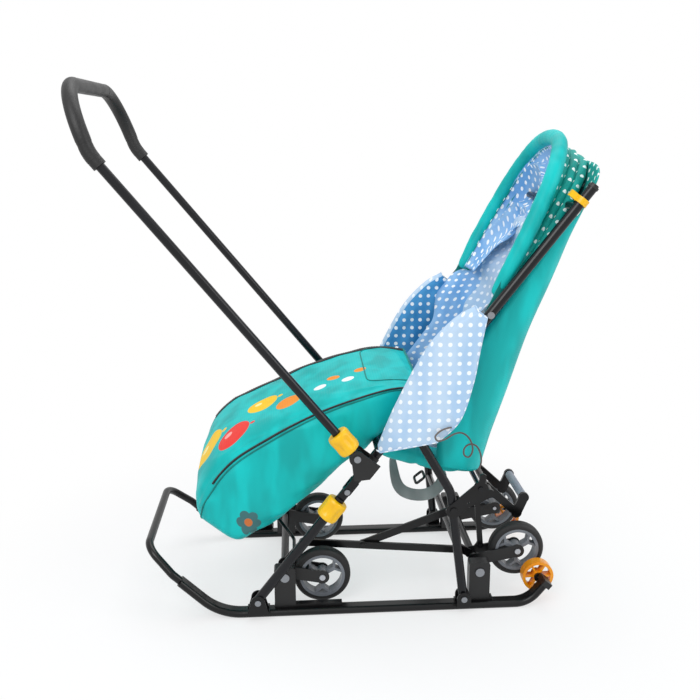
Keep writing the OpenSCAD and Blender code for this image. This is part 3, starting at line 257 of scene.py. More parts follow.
def sweep(
    name: str,
    path: np.ndarray,
    radius: np.ndarray | float,
    sides: int = 8,
    up: Sequence[float] = (0.0, 1.0, 0.0),
    closed_ends: bool = True,
    aspect: float = 1.0,
) -> Object:
    """Carries a round or oval section along a path.

    Args:
        name: Object name.
        path: Points in metres.
        radius: Section radius in millimetres, one for all or one for each point.
        sides: Points round the section.
        up: A direction that the path never runs along.
        closed_ends: Rounds the ends to a point.
        aspect: Section height over its width.

    Returns:
        The tube.
    """
    run = unit(np.gradient(path, axis=0))
    out = unit(np.cross(run, np.asarray(up, float)))
    side = np.cross(out, run)
    r = np.broadcast_to(np.asarray(radius, float) * MM, (len(path),))
    if closed_ends:
        cap = np.array([0.0, 0.55, 0.85])
        ahead = np.array([0.5, 0.425, 0.25])
        path, out, side = (np.pad(rows, ((3, 3), (0, 0)), "edge") for rows in (path, out, side))
        path[:3] -= run[0] * (r[0] * ahead)[:, None]
        path[-3:] += run[-1] * (r[-1] * ahead[::-1])[:, None]
        r = np.concatenate([cap * r[0], r, cap[::-1] * r[-1]])
    a = np.linspace(0, 2 * np.pi, sides, endpoint=False)[:, None]
    ring = out[:, None] * np.cos(a) + aspect * side[:, None] * np.sin(a)
    turn = np.linspace(0, 2 * np.pi, sides + 1) * float(np.mean(r))
    uv = np.stack(np.broadcast_arrays(arc_lengths(path)[:, None], turn), -1)
    made = surface(name, path[:, None] + ring * r[:, None, None], uv, wrap=(False, True))
    merge_close(made, 1e-6)
    return made


def grid_lengths(grid: np.ndarray) -> np.ndarray:
    """Measures cloth coordinates on a grid.

    Args:
        grid: Points, rows by columns by 3, in metres.

    Returns:
        Mean arc length down the rows, and arc length across the columns from their middle.
    """
    mean_step = np.linalg.norm(np.diff(grid, axis=0), axis=2).mean(axis=1)
    down = np.concatenate([[0.0], np.cumsum(mean_step)])
    step = np.linalg.norm(np.diff(grid, axis=1), axis=2)
    across = np.concatenate([np.zeros((len(grid), 1)), np.cumsum(step, axis=1)], axis=1)
    across -= across[:, -1:] / 2
    return np.stack([np.broadcast_to(down[:, None], across.shape), across], -1)


def dress(made: Object, *finishes: Material) -> Object:
    """Puts finishes in an object's material slots.

    Args:
        made: The object.
        *finishes: Its materials in the order of the slots.

    Returns:
        The same object.
    """
    made.data.materials.clear()
    for finish in finishes:
        made.data.materials.append(finish)
    return made


# Colours and shader nodes


def linear(code: str) -> tuple[float, float, float, float]:
    """Turns an sRGB hex colour into linear values for a shader socket.

    Args:
        code: Six hex digits after a hash sign.

    Returns:
        Red, green, blue and a full alpha.
    """
    value = [int(code[k : k + 2], 16) / 255 for k in (1, 3, 5)]
    line = [c / 12.92 if c <= 0.04045 else ((c + 0.055) / 1.055) ** 2.4 for c in value]
    return (*line, 1.0)


@dataclass
class NodeGraph:
    """The shader nodes of one material or world."""

    tree: NodeTree

    @classmethod
    def of(cls, owner: Material | World) -> "NodeGraph":
        """Turns an owner's nodes on and empties them.

        Args:
            owner: A material or a world.

        Returns:
            The empty graph.
        """
        owner.use_nodes = True
        owner.node_tree.nodes.clear()
        return cls(owner.node_tree)

    def add(self, kind: str, inputs: dict | None = None, want: str | int = 0, **settings: Any) -> Any:
        """Adds a shader node with its settings, values and links.

        Args:
            kind: Node type after its ShaderNode prefix.
            inputs: Socket name or number to a value, a hex colour, or an output socket to link.
            want: Name or number of the output socket to give.
            **settings: Attributes of the node.

        Returns:
            The wanted output socket, or nothing for a node that has none.
        """
        node = self.tree.nodes.new("ShaderNode" + kind)
        for key, value in settings.items():
            setattr(node, key, value)
        for key, value in (inputs or {}).items():
            if isinstance(value, NodeSocket):
                self.tree.links.new(value, node.inputs[key])
            else:
                node.inputs[key].default_value = linear(value) if isinstance(value, str) else value
        return node.outputs[want] if len(node.outputs) else None

    def ramp(self, value: Any, low: float, high: float, a: float = 0.0, b: float = 1.0) -> Any:
        """Maps a value smoothly between two limits and gives the output socket."""
        limits = {"From Min": low, "From Max": high, "To Min": a, "To Max": b}
        return self.add("MapRange", {"Value": value, **limits}, "Result", interpolation_type="SMOOTHSTEP")

    def mix(self, factor: Any, a: Any, b: Any) -> Any:
        """Mixes two colours and gives the output socket."""
        return self.add("Mix", {0: factor, 6: a, 7: b}, 2, data_type="RGBA")


@dataclass(frozen=True)
class Finish:
    """A named finish of one colour; its kinds say what else their shader's sockets hold."""

    name: str
    color: str

    def sockets(self, graph: NodeGraph) -> dict[str, Any]:
        """Gives the shader's plain colour."""
        return {"Base Color": self.color}

    def material(self) -> Material:
        """Makes the material, a principled shader fed by this finish's sockets.

        Returns:
            The material.
        """
        made = bpy.data.materials.new(self.name)
        graph = NodeGraph.of(made)
        shader = graph.add("BsdfPrincipled", self.sockets(graph))
        graph.add("OutputMaterial", {"Surface": shader})
        return made


@dataclass(frozen=True)
class Enamel(Finish):
    """Powder enamel on steel tube: deep colour, sharp gloss and a faint orange peel."""

    tint: str
    roughness: float = 0.16
    peel_mm: float = 1.6

    def sockets(self, graph: NodeGraph) -> dict[str, Any]:
        """Lets the colour drift slightly and dents the gloss with a fine noise.

        Args:
            graph: The material's nodes.

        Returns:
            Values and links for the shader's sockets.
        """
        place = graph.add("TexCoord", want="Object")
        drift = graph.add("TexNoise", {"Vector": place, "Scale": 9.0, "Detail": 2.0}, "Fac")
        peel_scale = 1.0 / (self.peel_mm * MM)
        peel = graph.add("TexNoise", {"Vector": place, "Scale": peel_scale, "Detail": 1.0}, "Fac")
        return {
            "Base Color": graph.mix(graph.ramp(drift, 0.35, 0.7), self.color, self.tint),
            "Roughness": graph.ramp(drift, 0.4, 0.75, self.roughness, self.roughness + 0.08),
            "Normal": graph.add("Bump", {"Height": peel, "Strength": 0.05, "Distance": 0.0004}),
            "Specular IOR Level": 0.3,
            "Coat Weight": 0.08,
            "Coat Roughness": 0.06,
        }


@dataclass(frozen=True)
class Moulded(Finish):
    """Moulded plastic or rubber: even colour, fine grain and slightly duller patches."""

    tint: str
    roughness: float
    grain_mm: float = 1.2
    grain: float = 0.15
    subsurface: float = 0.0

    def sockets(self, graph: NodeGraph) -> dict[str, Any]:
        """Varies colour and roughness in patches, with grain noise in the bump.

        Args:
            graph: The material's nodes.

        Returns:
            Values and links for the shader's sockets.
        """
        place = graph.add("TexCoord", want="Object")
        patch = graph.add("TexNoise", {"Vector": place, "Scale": 22.0, "Detail": 3.0}, "Fac")
        grain_scale = 1.0 / (self.grain_mm * MM)
        fine = graph.add("TexNoise", {"Vector": place, "Scale": grain_scale, "Detail": 2.0}, "Fac")
        return {
            "Base Color": graph.mix(graph.ramp(patch, 0.3, 0.7), self.color, self.tint),
            "Roughness": graph.ramp(patch, 0.3, 0.7, self.roughness - 0.05, self.roughness + 0.07),
            "Normal": graph.add("Bump", {"Height": fine, "Strength": self.grain, "Distance": 0.0006}),
            "Subsurface Weight": self.subsurface,
            "Subsurface Radius": (0.004, 0.002, 0.001),
        }


@dataclass(frozen=True)
class PlatedSteel(Finish):
    """Zinc-plated or turned steel: bright metal with fine turning marks."""

    roughness: float = 0.28

    def sockets(self, graph: NodeGraph) -> dict[str, Any]:
        """Makes metal whose roughness varies with stretched noise.

        Args:
            graph: The material's nodes.

        Returns:
            Values and links for the shader's sockets.
        """
        place = graph.add("TexCoord", want="Object")
        marks = graph.add("Mapping", {"Vector": place, "Scale": (300.0, 1200.0, 300.0)})
        noise = graph.add("TexNoise", {"Vector": marks, "Scale": 1.0, "Detail": 2.0}, "Fac")
        rough = graph.ramp(noise, 0.3, 0.7, self.roughness - 0.08, self.roughness + 0.1)
        return {**super().sockets(graph), "Roughness": rough, "Metallic": 1.0}


@dataclass(frozen=True)
class Dots:
    """A print of round dots on cloth, in square rows or staggered, sized in millimetres."""

    color: str
    pitch_mm: float
    size_mm: float
    staggered: bool = False

    def factor(self, graph: NodeGraph, place: Any) -> Any:
        """Gives 1 inside a dot: the nearest point of a lattice, or of two that are half a step apart.

        Args:
            graph: The material's nodes.
            place: Cloth coordinates in metres.

        Returns:
            The factor's output socket.
        """
        far = []
        for shift in (0.0, 0.5) if self.staggered else (0.0,):
            lattice = {0: place, 1: (1 / (self.pitch_mm * MM),) * 3, 2: (shift, shift, 0.0)}
            cell = graph.add("VectorMath", lattice, operation="MULTIPLY_ADD")
            part = graph.add("VectorMath", {0: cell}, operation="FRACTION")
            far.append(graph.add("VectorMath", {0: part, 1: (0.5, 0.5, 0.0)}, "Value", operation="DISTANCE"))
        nearest = graph.add("Math", {0: far[0], 1: far[-1]}, operation="MINIMUM")
        r = self.size_mm / self.pitch_mm / 2
        return graph.ramp(nearest, r * 0.86, r * 1.14, 1.0, 0.0)


@dataclass(frozen=True)
class PrintDisc:
    """One flat disc of a print on cloth: its place and size in metres on the cloth."""

    u: float
    v: float
    r: float
    color: str


@dataclass(frozen=True)
class Cloth(Finish):
    """Woven cloth: coated nylon or brushed cotton with slack wrinkles, painted shade in their folds, weave
    and a soft sheen.
    """

    # Painted shade: the darker colour that the wrinkles' folds take on.
    shade: str
    roughness: float = 0.55
    weave_mm: float = 2.2
    wrinkle_mm: float = 45.0
    wrinkle: float = 0.35
    sheen: float = 0.15
    dots: Dots | None = None
    print_discs: tuple[PrintDisc, ...] = ()

    def sockets(self, graph: NodeGraph) -> dict[str, Any]:
        """Draws a two-way weave, coarse enough to show, wrinkles with painted shade in their folds, and then
        any print.

        Args:
            graph: The material's nodes.

        Returns:
            Values and links for the shader's sockets.
        """
        solid = graph.add("TexCoord", want="Object")
        place = graph.add("UVMap", uv_map="cloth")
        slant = graph.add(
            "Mapping", {"Vector": solid, "Rotation": (0.2, 0.75, 0.3), "Scale": (1.0, 0.75, 0.3)}
        )
        wrinkles = {"Scale": 1.0 / (self.wrinkle_mm * MM), "Detail": 2.0, "Roughness": 0.5, "Distortion": 0.2}
        slack = graph.add("TexNoise", {"Vector": slant, **wrinkles}, "Fac")
        # Painted shade: the colour turns to the shade colour where the wrinkle noise runs high, shading the
        # folds.
        base = graph.mix(graph.ramp(slack, 0.35, 0.68), self.color, self.shade)
        # At scale 1 a wave texture turns 20 radians to the unit, and a thread is half a turn.
        thread_scale = math.pi / (20 * self.weave_mm * MM)
        thread = {"Vector": place, "Scale": thread_scale, "Distortion": 0.4, "Detail": 1.0}
        warp, weft = (
            graph.add("TexWave", thread, "Fac", wave_type="BANDS", bands_direction=way) for way in "XY"
        )
        weave = graph.add("Math", {0: warp, 1: weft}, operation="MULTIPLY")
        if self.dots is not None:
            base = graph.mix(self.dots.factor(graph, place), base, self.dots.color)
        for disc in self.print_discs:
            far = graph.add("VectorMath", {0: place, 1: (disc.u, disc.v, 0.0)}, "Value", operation="DISTANCE")
            base = graph.mix(graph.ramp(far, disc.r * 0.97, disc.r * 1.03, 1.0, 0.0), base, disc.color)
        folds = graph.add("Bump", {"Height": slack, "Strength": self.wrinkle, "Distance": 0.006})
        fine = {"Height": weave, "Strength": 0.12, "Distance": 0.0004, "Normal": folds}
        return {
            "Base Color": base,
            "Roughness": graph.ramp(weave, 0.0, 1.0, self.roughness + 0.06, self.roughness - 0.06),
            "Normal": graph.add("Bump", fine),
            "Sheen Weight": self.sheen,
            "Sheen Roughness": 0.4,
            "Specular IOR Level": 0.28,
        }


# The stroller's finishes

LINER_DOTS = Dots("#fdfeff", 18.2, 8.0)
PALE_DOTS = Dots("#f0f6fc", 18.2, 8.2)
HOOD_DOTS = Dots("#f2fffc", 27.0, 7.2, staggered=True)

SUN, RED, ORANGE, CREAM, ROSE, WHITE = "#f6c81e", "#e8382f", "#f0922a", "#fdeea0", "#f7a8a0", "#f4f8f8"
FLOWER = (0.200, 0.264)
MUFF_PRINT = (
    # Balloons, their highlights, their knots and a row of small dots
    *(PrintDisc(*row) for row in (
        (0.215, 0.026, 0.046, SUN), (0.292, 0.086, 0.036, RED), (0.352, 0.014, 0.030, SUN),
        (0.402, 0.068, 0.023, ORANGE), (0.201, 0.010, 0.011, CREAM), (0.281, 0.074, 0.009, ROSE),
        (0.343, 0.004, 0.007, CREAM), (0.268, 0.026, 0.006, SUN), (0.334, 0.086, 0.005, RED),
        (0.388, 0.014, 0.005, SUN), (0.458, 0.060, 0.011, WHITE), (0.482, 0.030, 0.011, ORANGE),
        (0.506, 0.060, 0.011, WHITE), (0.530, 0.026, 0.011, ORANGE),
    )),
    # A flower of six petals round its heart
    *(PrintDisc(FLOWER[0] + 0.017 * math.cos(k), FLOWER[1] + 0.017 * math.sin(k), 0.010, "#3f6f70")
      for k in np.arange(6) * math.pi / 3),
    PrintDisc(*FLOWER, 0.0088, "#c9713a"),
)

FINISHES: tuple[Finish, ...] = (
    Enamel("enamel_navy", "#04050a", "#07090f", 0.24),
    Enamel("enamel_black", "#030304", "#060608", 0.3),
    Moulded("nylon_black", "#050506", "#0a0a0c", 0.4),
    Moulded("rubber_tyre", "#060607", "#0c0c0d", 0.6, 1.6, 0.3),
    Moulded("rubber_grip", "#040405", "#09090a", 0.5, 2.6, 0.55),
    Moulded("abs_rim_grey", "#686c72", "#777c82", 0.38),
    Moulded("abs_yellow", "#f6c200", "#efb600", 0.32, 2.0, 0.06, 0.04),
    Moulded("abs_orange", "#f59d0a", "#ec9006", 0.33, 2.0, 0.08, 0.04),
    Moulded("foam_sleeve_grey", "#a6a8af", "#9193a0", 0.55, 1.8, 0.25),
    PlatedSteel("zinc_plated_steel", "#b9bcc2", 0.3),
    PlatedSteel("polished_rivet", "#8f9297", 0.34),
    Cloth("coated_nylon_teal", "#00c2bf", "#00a9a6", 0.5, sheen=0.0),
    Cloth("coated_nylon_teal_print", "#00c2bf", "#00a9a6", 0.5, sheen=0.0, print_discs=MUFF_PRINT),
    Cloth("coated_nylon_teal_deep", "#04857e", "#036b66", 0.55, sheen=0.04),
    Cloth("dotted_nylon_teal", "#04a79d", "#028e85", 0.55, sheen=0.04, dots=HOOD_DOTS),
    Cloth("dotted_cotton_pale", "#bfd6eb", "#aac9e6", 0.75, dots=PALE_DOTS, wrinkle=0.25, sheen=0.06),
    # The wings' inner cloth: its own blue, deepened as painted shade.
    Cloth("dotted_cotton_blue_and_shade", "#4f9bd2", "#2f7fbc", 0.75, dots=LINER_DOTS, sheen=0.05),
    # Painted shade: a darker copy of the pale dotted cotton, for the linings' shaded parts.
    Cloth("dotted_cotton_shaded", "#97c1ea", "#6aa5de", 0.75, dots=LINER_DOTS, sheen=0.05),
    Cloth("zip_tape_black", "#0d0e10", "#17181b", 0.6, weave_mm=2.6, wrinkle=0.05),
    Cloth("webbing_grey", "#7d8483", "#929998", 0.7, weave_mm=2.4, wrinkle=0.05),
    Cloth("braided_lace", "#6f6763", "#57504d", 0.75, weave_mm=1.8, wrinkle=0.1),
)


# Sub-assemblies, with sizes in millimetres


@dataclass
class Assembly:
    """A sub-assembly that shapes its pieces on grids and dresses them from the stroller's finishes."""

    finishes: dict[str, Material]

    def sheet(
        self,
        name: str,
        grid: np.ndarray,
        *looks: str,
        thick: float = 0.0,
        offset: float = 0.0,
        flat: np.ndarray | None = None,
        second: np.ndarray | None = None,
        tube: bool = False,
        flip: bool = False,
    ) -> Object:
        """Makes a dressed sheet of cloth through a grid of points.

        Args:
            name: Object name.
            grid: Points, rows by columns by 3, in metres.
            *looks: Names of the finishes.
            thick: Thickness in millimetres, or 0 for a closed skin.
            offset: Which way the thickness grows, -1 to 1.
            flat: Cloth coordinates in metres, where arc lengths don't serve.
            second: Which rows or columns of faces wear the second finish.
            tube: Closes the columns on themselves.
            flip: Turns the faces round.

        Returns:
            The sheet.
        """
        if flat is None:
            flat = grid_lengths(np.hstack([grid, grid[:, :1]]) if tube else grid)
        made = surface(name, grid, flat, (False, tube), flip)
        if tube:
            merge_close(made)
        dress(made, *(self.finishes[look] for look in looks))
        if second is not None:
            slots = np.broadcast_to(second, (grid.shape[0] - 1, grid.shape[1] - 1))
            made.data.polygons.foreach_set("material_index", slots.astype(np.int32).ravel())
        if thick:
            solid = made.modifiers.new("thickness", "SOLIDIFY")
            solid.thickness = thick * MM
            solid.offset = offset
        return made

    def tube(self, look: str, name: str, path: np.ndarray, radius: Any, **section: Any) -> Object:
        """Sweeps a tube along a path, with the section that sweep takes, and dresses it."""
        return dress(sweep(name, path, radius, **section), self.finishes[look])


@dataclass
class FootMuff(Assembly):
    """The zipped foot cover: a padded bag lofted along the legs, closed at the toes and open at the lap."""

    half: float = 158.0
    wall: float = 9.0
    squareness: float = 0.34
    crease: float = 3.4
    seam_depth: float = 3.2
    puff: float = 2.0
    slack: float = 2.4
    ripple: float = 1.5
    rows: int = 110
    columns: int = 120
    toe_shrink: tuple = (0.0, 0.35, 0.62, 0.82, 0.94)
    toe_bulge: tuple = (-8.8, 0.0, -7.7)
    # Shares of the length from the toes
    zip_start: float = 0.30
    zip_end: float = 0.985
    # Angles in radians round the section
    zip_turn: float = 0.30
    zip_spread: float = 0.80
    piping_below: float = 0.12
    tape_half: float = 0.08
    tape_more: float = 0.05
    # Heights above the skin
    tape_lift: float = 0.5
    tape_crown: float = 1.2
    coil_lift: float = 2.2
    slider_lift: float = 3.6
    # Thickness and radii
    tape_thick: float = 0.8
    coil_r: float = 1.5
    slider_r: float = 4.2
    piping_r: float = 1.6
    binding_r: float = 2.6
    seam_r: float = 1.3
    # Lower x and z, upper x and z, and share of the half width, from the toes to the lap
    stations: tuple = (
        (-158, 158, -190, 180, 0.62), (-120, 149, -207, 222, 0.90), (-70, 175, -195, 278, 1.0),
        (-9, 214, -149, 338, 1.0), (56, 264, -63, 386, 1.0), (106, 308, 29, 427, 0.99),
        (148, 341, 108, 452, 0.97), (190, 378, 181, 466, 0.93), (238, 402, 238, 461, 0.86),
    )

    def skin(self, t: Any, a: Any, lift: Any = 0.0) -> np.ndarray:
        """Gives points of the bag: at t along the stations, a squared oval of angle a.

        The oval's height runs from the lower to the upper station point with a signed power of the
        sine, and its width is a signed power of the cosine. The bag hangs lower on its left, slack
        and the pull of the seams move each point along the normal.

        Args:
            t: Share of the length from the toes, 0 to 1.
            a: Angle round the section, a quarter turn at the top.
            lift: Extra distance along the normal.

        Returns:
            Points in metres.
        """
        t, a = np.broadcast_arrays(t, a)
        sin, cos = np.sin(a), np.cos(a)
        line = spline(self.stations, 24)
        at = np.linspace(0.0, 1.0, len(line))
        bx, bz, tx, tz, share = (np.interp(t, at, column) for column in line.T)
        up = (1 + signed_power(sin, self.squareness)) / 2
        y = self.half * share * (1 - 0.06 * sin**2) * signed_power(cos, self.squareness)
        slump = 0.045 + 0.085 * bell(t, 0.25, 0.2)
        base = np.stack([bx + (tx - bx) * up, y, bz + (tz - bz) * up + slump * y], -1)
        mid = np.stack([(bx + tx) / 2, np.zeros_like(y), (bz + tz) / 2], -1)
        out = unit(base - mid)
        seam = bell(np.abs(sin), 0.64, 0.09) * (sin > 0)
        slack = self.slack * waves(t * 2.2, np.abs(a) * 0.35, 4, 8, 2.4)
        slack = slack + self.ripple * waves(t * 3, a * 0.5, 9, 6, 3.5)
        wander = 0.14 * waves(t * 2.0, np.abs(a - np.pi / 2) * 0.3, 15, 6, 2.0)
        fold = np.abs(np.sin(np.pi * (t * 2.7 + cos * 0.8 + sin * 0.5 + wander)))
        slack = slack + self.crease * (1 - fold) ** 3 - self.seam_depth * seam
        puff = self.puff * (sin > 0) * sin**2 * np.sin(np.pi * t)
        fade = np.clip((t - 0.03) / 0.12, 0, 1)
        return to_frame(base + out * (slack * fade + puff + lift)[..., None])

    def build(self) -> list[Object]:
        """Makes the bag, its two zips, its pipings and the lap flap's seam.

        Returns:
            The pieces, the bag first.
        """
        t = np.linspace(0.0, 1.0, self.rows)[:, None]
        grid = self.skin(t, np.linspace(-np.pi / 2, 1.5 * np.pi, self.columns, endpoint=False))
        toe = grid[0].mean(axis=0)
        shrink = np.array(self.toe_shrink)[:, None, None]
        cap = toe + (grid[:1] - toe) * shrink + np.array(self.toe_bulge) * MM * np.sqrt(1 - shrink**2)
        skin = np.vstack([cap, grid])
        deep = "coated_nylon_teal_deep"
        pieces = [
            self.sheet("muff_bag", skin, "coated_nylon_teal_print", thick=self.wall, offset=-1, tube=True)
        ]
        for side in Side:
            pieces += self.zip_line(side)
        rim = self.skin(0.992, np.linspace(-np.pi / 2, 1.5 * np.pi, 97), 0.4)
        return [
            *pieces,
            self.tube(deep, "muff_lap_binding", rim, self.binding_r, up=(1, 0, 0.3), closed_ends=False),
            self.tube(deep, "muff_flap_seam", self.flap_path(), self.seam_r, up=(1, 0, -0.6)),
        ]

    def flap_path(self) -> np.ndarray:
        """Runs the lap flap's seam up one side, across the top with round corners and down the other."""
        k = np.linspace(-1.0, 1.0, 81)
        return self.skin(0.80 + 0.19 * np.abs(k) ** 5, np.pi / 2 - k * 0.60, 0.6)

    def zip_line(self, side: Side) -> list[Object]:
        """Makes one zip: a tape sewn on the top edge, its coil, its slider and the piping below.

        Args:
            side: Which edge.

        Returns:
            The zip's pieces.
        """
        edge = np.pi / 2 + self.zip_turn - side.value * self.zip_spread
        low = edge - side.value * self.piping_below
        wide = self.tape_half + self.tape_more * side.value
        across = np.linspace(-wide, wide, 9)
        crown = self.tape_crown * (1 - (across / wide) ** 2)
        t = np.linspace(self.zip_start, self.zip_end, 120)[:, None]
        tape = self.skin(t, edge + across, self.tape_lift + crown)
        run = np.linspace(self.zip_start, self.zip_end, 420)
        beat = self.coil_r * (1 + 0.22 * np.sin(np.arange(len(run)) * 1.6))
        slide = self.skin(np.linspace(0.945, 0.962, 9), edge, self.slider_lift)
        swell = self.slider_r * np.array([0.6, 0.9, 1, 1, 0.85, 1, 1, 0.9, 0.6])
        piping = self.skin(np.linspace(0.06, self.zip_end, 140), low, 0.5)
        word = side.word
        return [
            self.sheet(f"muff_zip_tape_{word}", tape, "zip_tape_black", thick=self.tape_thick, offset=-1),
            self.tube("nylon_black", f"muff_zip_coil_{word}", self.skin(run, edge, self.coil_lift), beat),
            self.tube("zinc_plated_steel", f"muff_zip_slider_{word}", slide, swell, sides=12, aspect=0.6),
            self.tube("coated_nylon_teal_deep", f"muff_piping_{word}", piping, self.piping_r),
        ]


@dataclass
class SidePanel(Assembly):
    """One side wing of dotted cotton: a sleeve folded round the frame tube, pale outside and blue deepened as
    painted shade inside.
    """

    side: Side
    outer_y: float = 203.5
    inner_y: float = 180.5
    wadding: float = 4.5
    cloth: float = 1.8
    hem_r: float = 1.5
    fold_len: float = 32.0
    fold_bulge: float = 9.0
    puff_limits: tuple = (-6.0, 8.0)
    rows: int = 76
    inner_columns: int = 40
    fold_columns: int = 9
    outer_columns: int = 52
    front: tuple = ((156, 344), (192, 431), (246, 534), (296, 590), (334, 612))
    back: tuple = ((262, 361), (304, 402), (327, 472), (339, 541), (350, 600))

    def fold(self) -> np.ndarray:
        """Gives the shares of the half round at the fold's columns."""
        return np.linspace(0, 1, self.fold_columns + 2)[1:-1]

    def shape(self) -> np.ndarray:
        """Gives the folded sheet: the inner face, the fold round the front edge, then the outer face.

        Each row is a straight rule between the front and back edges of the side view. A half round
        carries it from the inner to the outer face, and the outer face is crowned by its wadding.

        Returns:
            Points in metres, rows up the wing by columns from the inside to the outside.
        """
        ahead, behind = (resample(spline(edge, 12), self.rows) for edge in (self.front, self.back))
        v = np.linspace(0.0, 1.0, self.rows)[:, None]
        inner, outer = np.linspace(1, 0, self.inner_columns), np.linspace(0, 1, self.outer_columns)
        span = np.concatenate([inner, np.zeros(self.fold_columns), outer])[None]
        turn = np.concatenate([np.zeros_like(inner), self.fold(), np.ones_like(outer)])[None]
        round_y = self.inner_y + (self.outer_y - self.inner_y) * (1 - np.cos(np.pi * turn)) / 2
        bulge = self.fold_bulge * np.sin(np.pi * turn)
        run = unit(np.gradient(ahead, axis=0))
        forward = np.stack([-run[:, 1], run[:, 0]], -1)[:, None]
        flat = ahead[:, None] + (behind - ahead)[:, None] * span[..., None] + forward * bulge[..., None]
        crown = ((1 - (2 * span - 1) ** 6) * (1 - (2 * v - 1) ** 6)) ** 0.5
        slack = waves(span * 1.3, v * 1.6, 12 + self.side.value, 7, 2.2)
        gather = bell(span, 0.92, 0.26) * bell(v, 0.16, 0.17)
        tuck = 2.2 * gather * np.sin((span * 4 + v * 9) * 4.5)
        puff = np.where(turn > 0.5, self.wadding + 1.3 * slack + tuck, -(2.0 + 1.5 * slack)) * crown
        return with_y(flat, self.side.value * (round_y + np.clip(puff, *self.puff_limits)))

    def build(self) -> list[Object]:
        """Makes the wing, with its two cloths, and the bound hem along its free edges.

        Returns:
            The wing and its hem.
        """
        grid = self.shape()
        turn = self.fold()
        start = self.inner_columns
        end = start + self.fold_columns
        along = grid[..., 0].copy()
        along[:, start:end] = grid[:, end : end + 1, 0] - self.fold_len * MM * np.minimum(turn, 1 - turn)
        # The inner face's columns wear the blue cloth, deepened as painted shade.
        wing = self.sheet(
            f"wing_{self.side.word}", grid, "dotted_cotton_pale", "dotted_cotton_blue_and_shade",
            thick=self.cloth, offset=1.0, flat=np.stack([along, grid[..., 2]], -1),
            second=np.arange(grid.shape[1] - 1) < start, flip=self.side is Side.RIGHT,
        )
        mid = start + self.fold_columns // 2
        edge = np.vstack([grid[0, mid:], grid[1:, -1], grid[-1, mid - 1 : -1][::-1]])
        hem = self.tube(
            "dotted_cotton_pale", f"wing_hem_{self.side.word}", edge, self.hem_r, up=(0.05, 1, 0.05)
        )
        return [wing, hem]


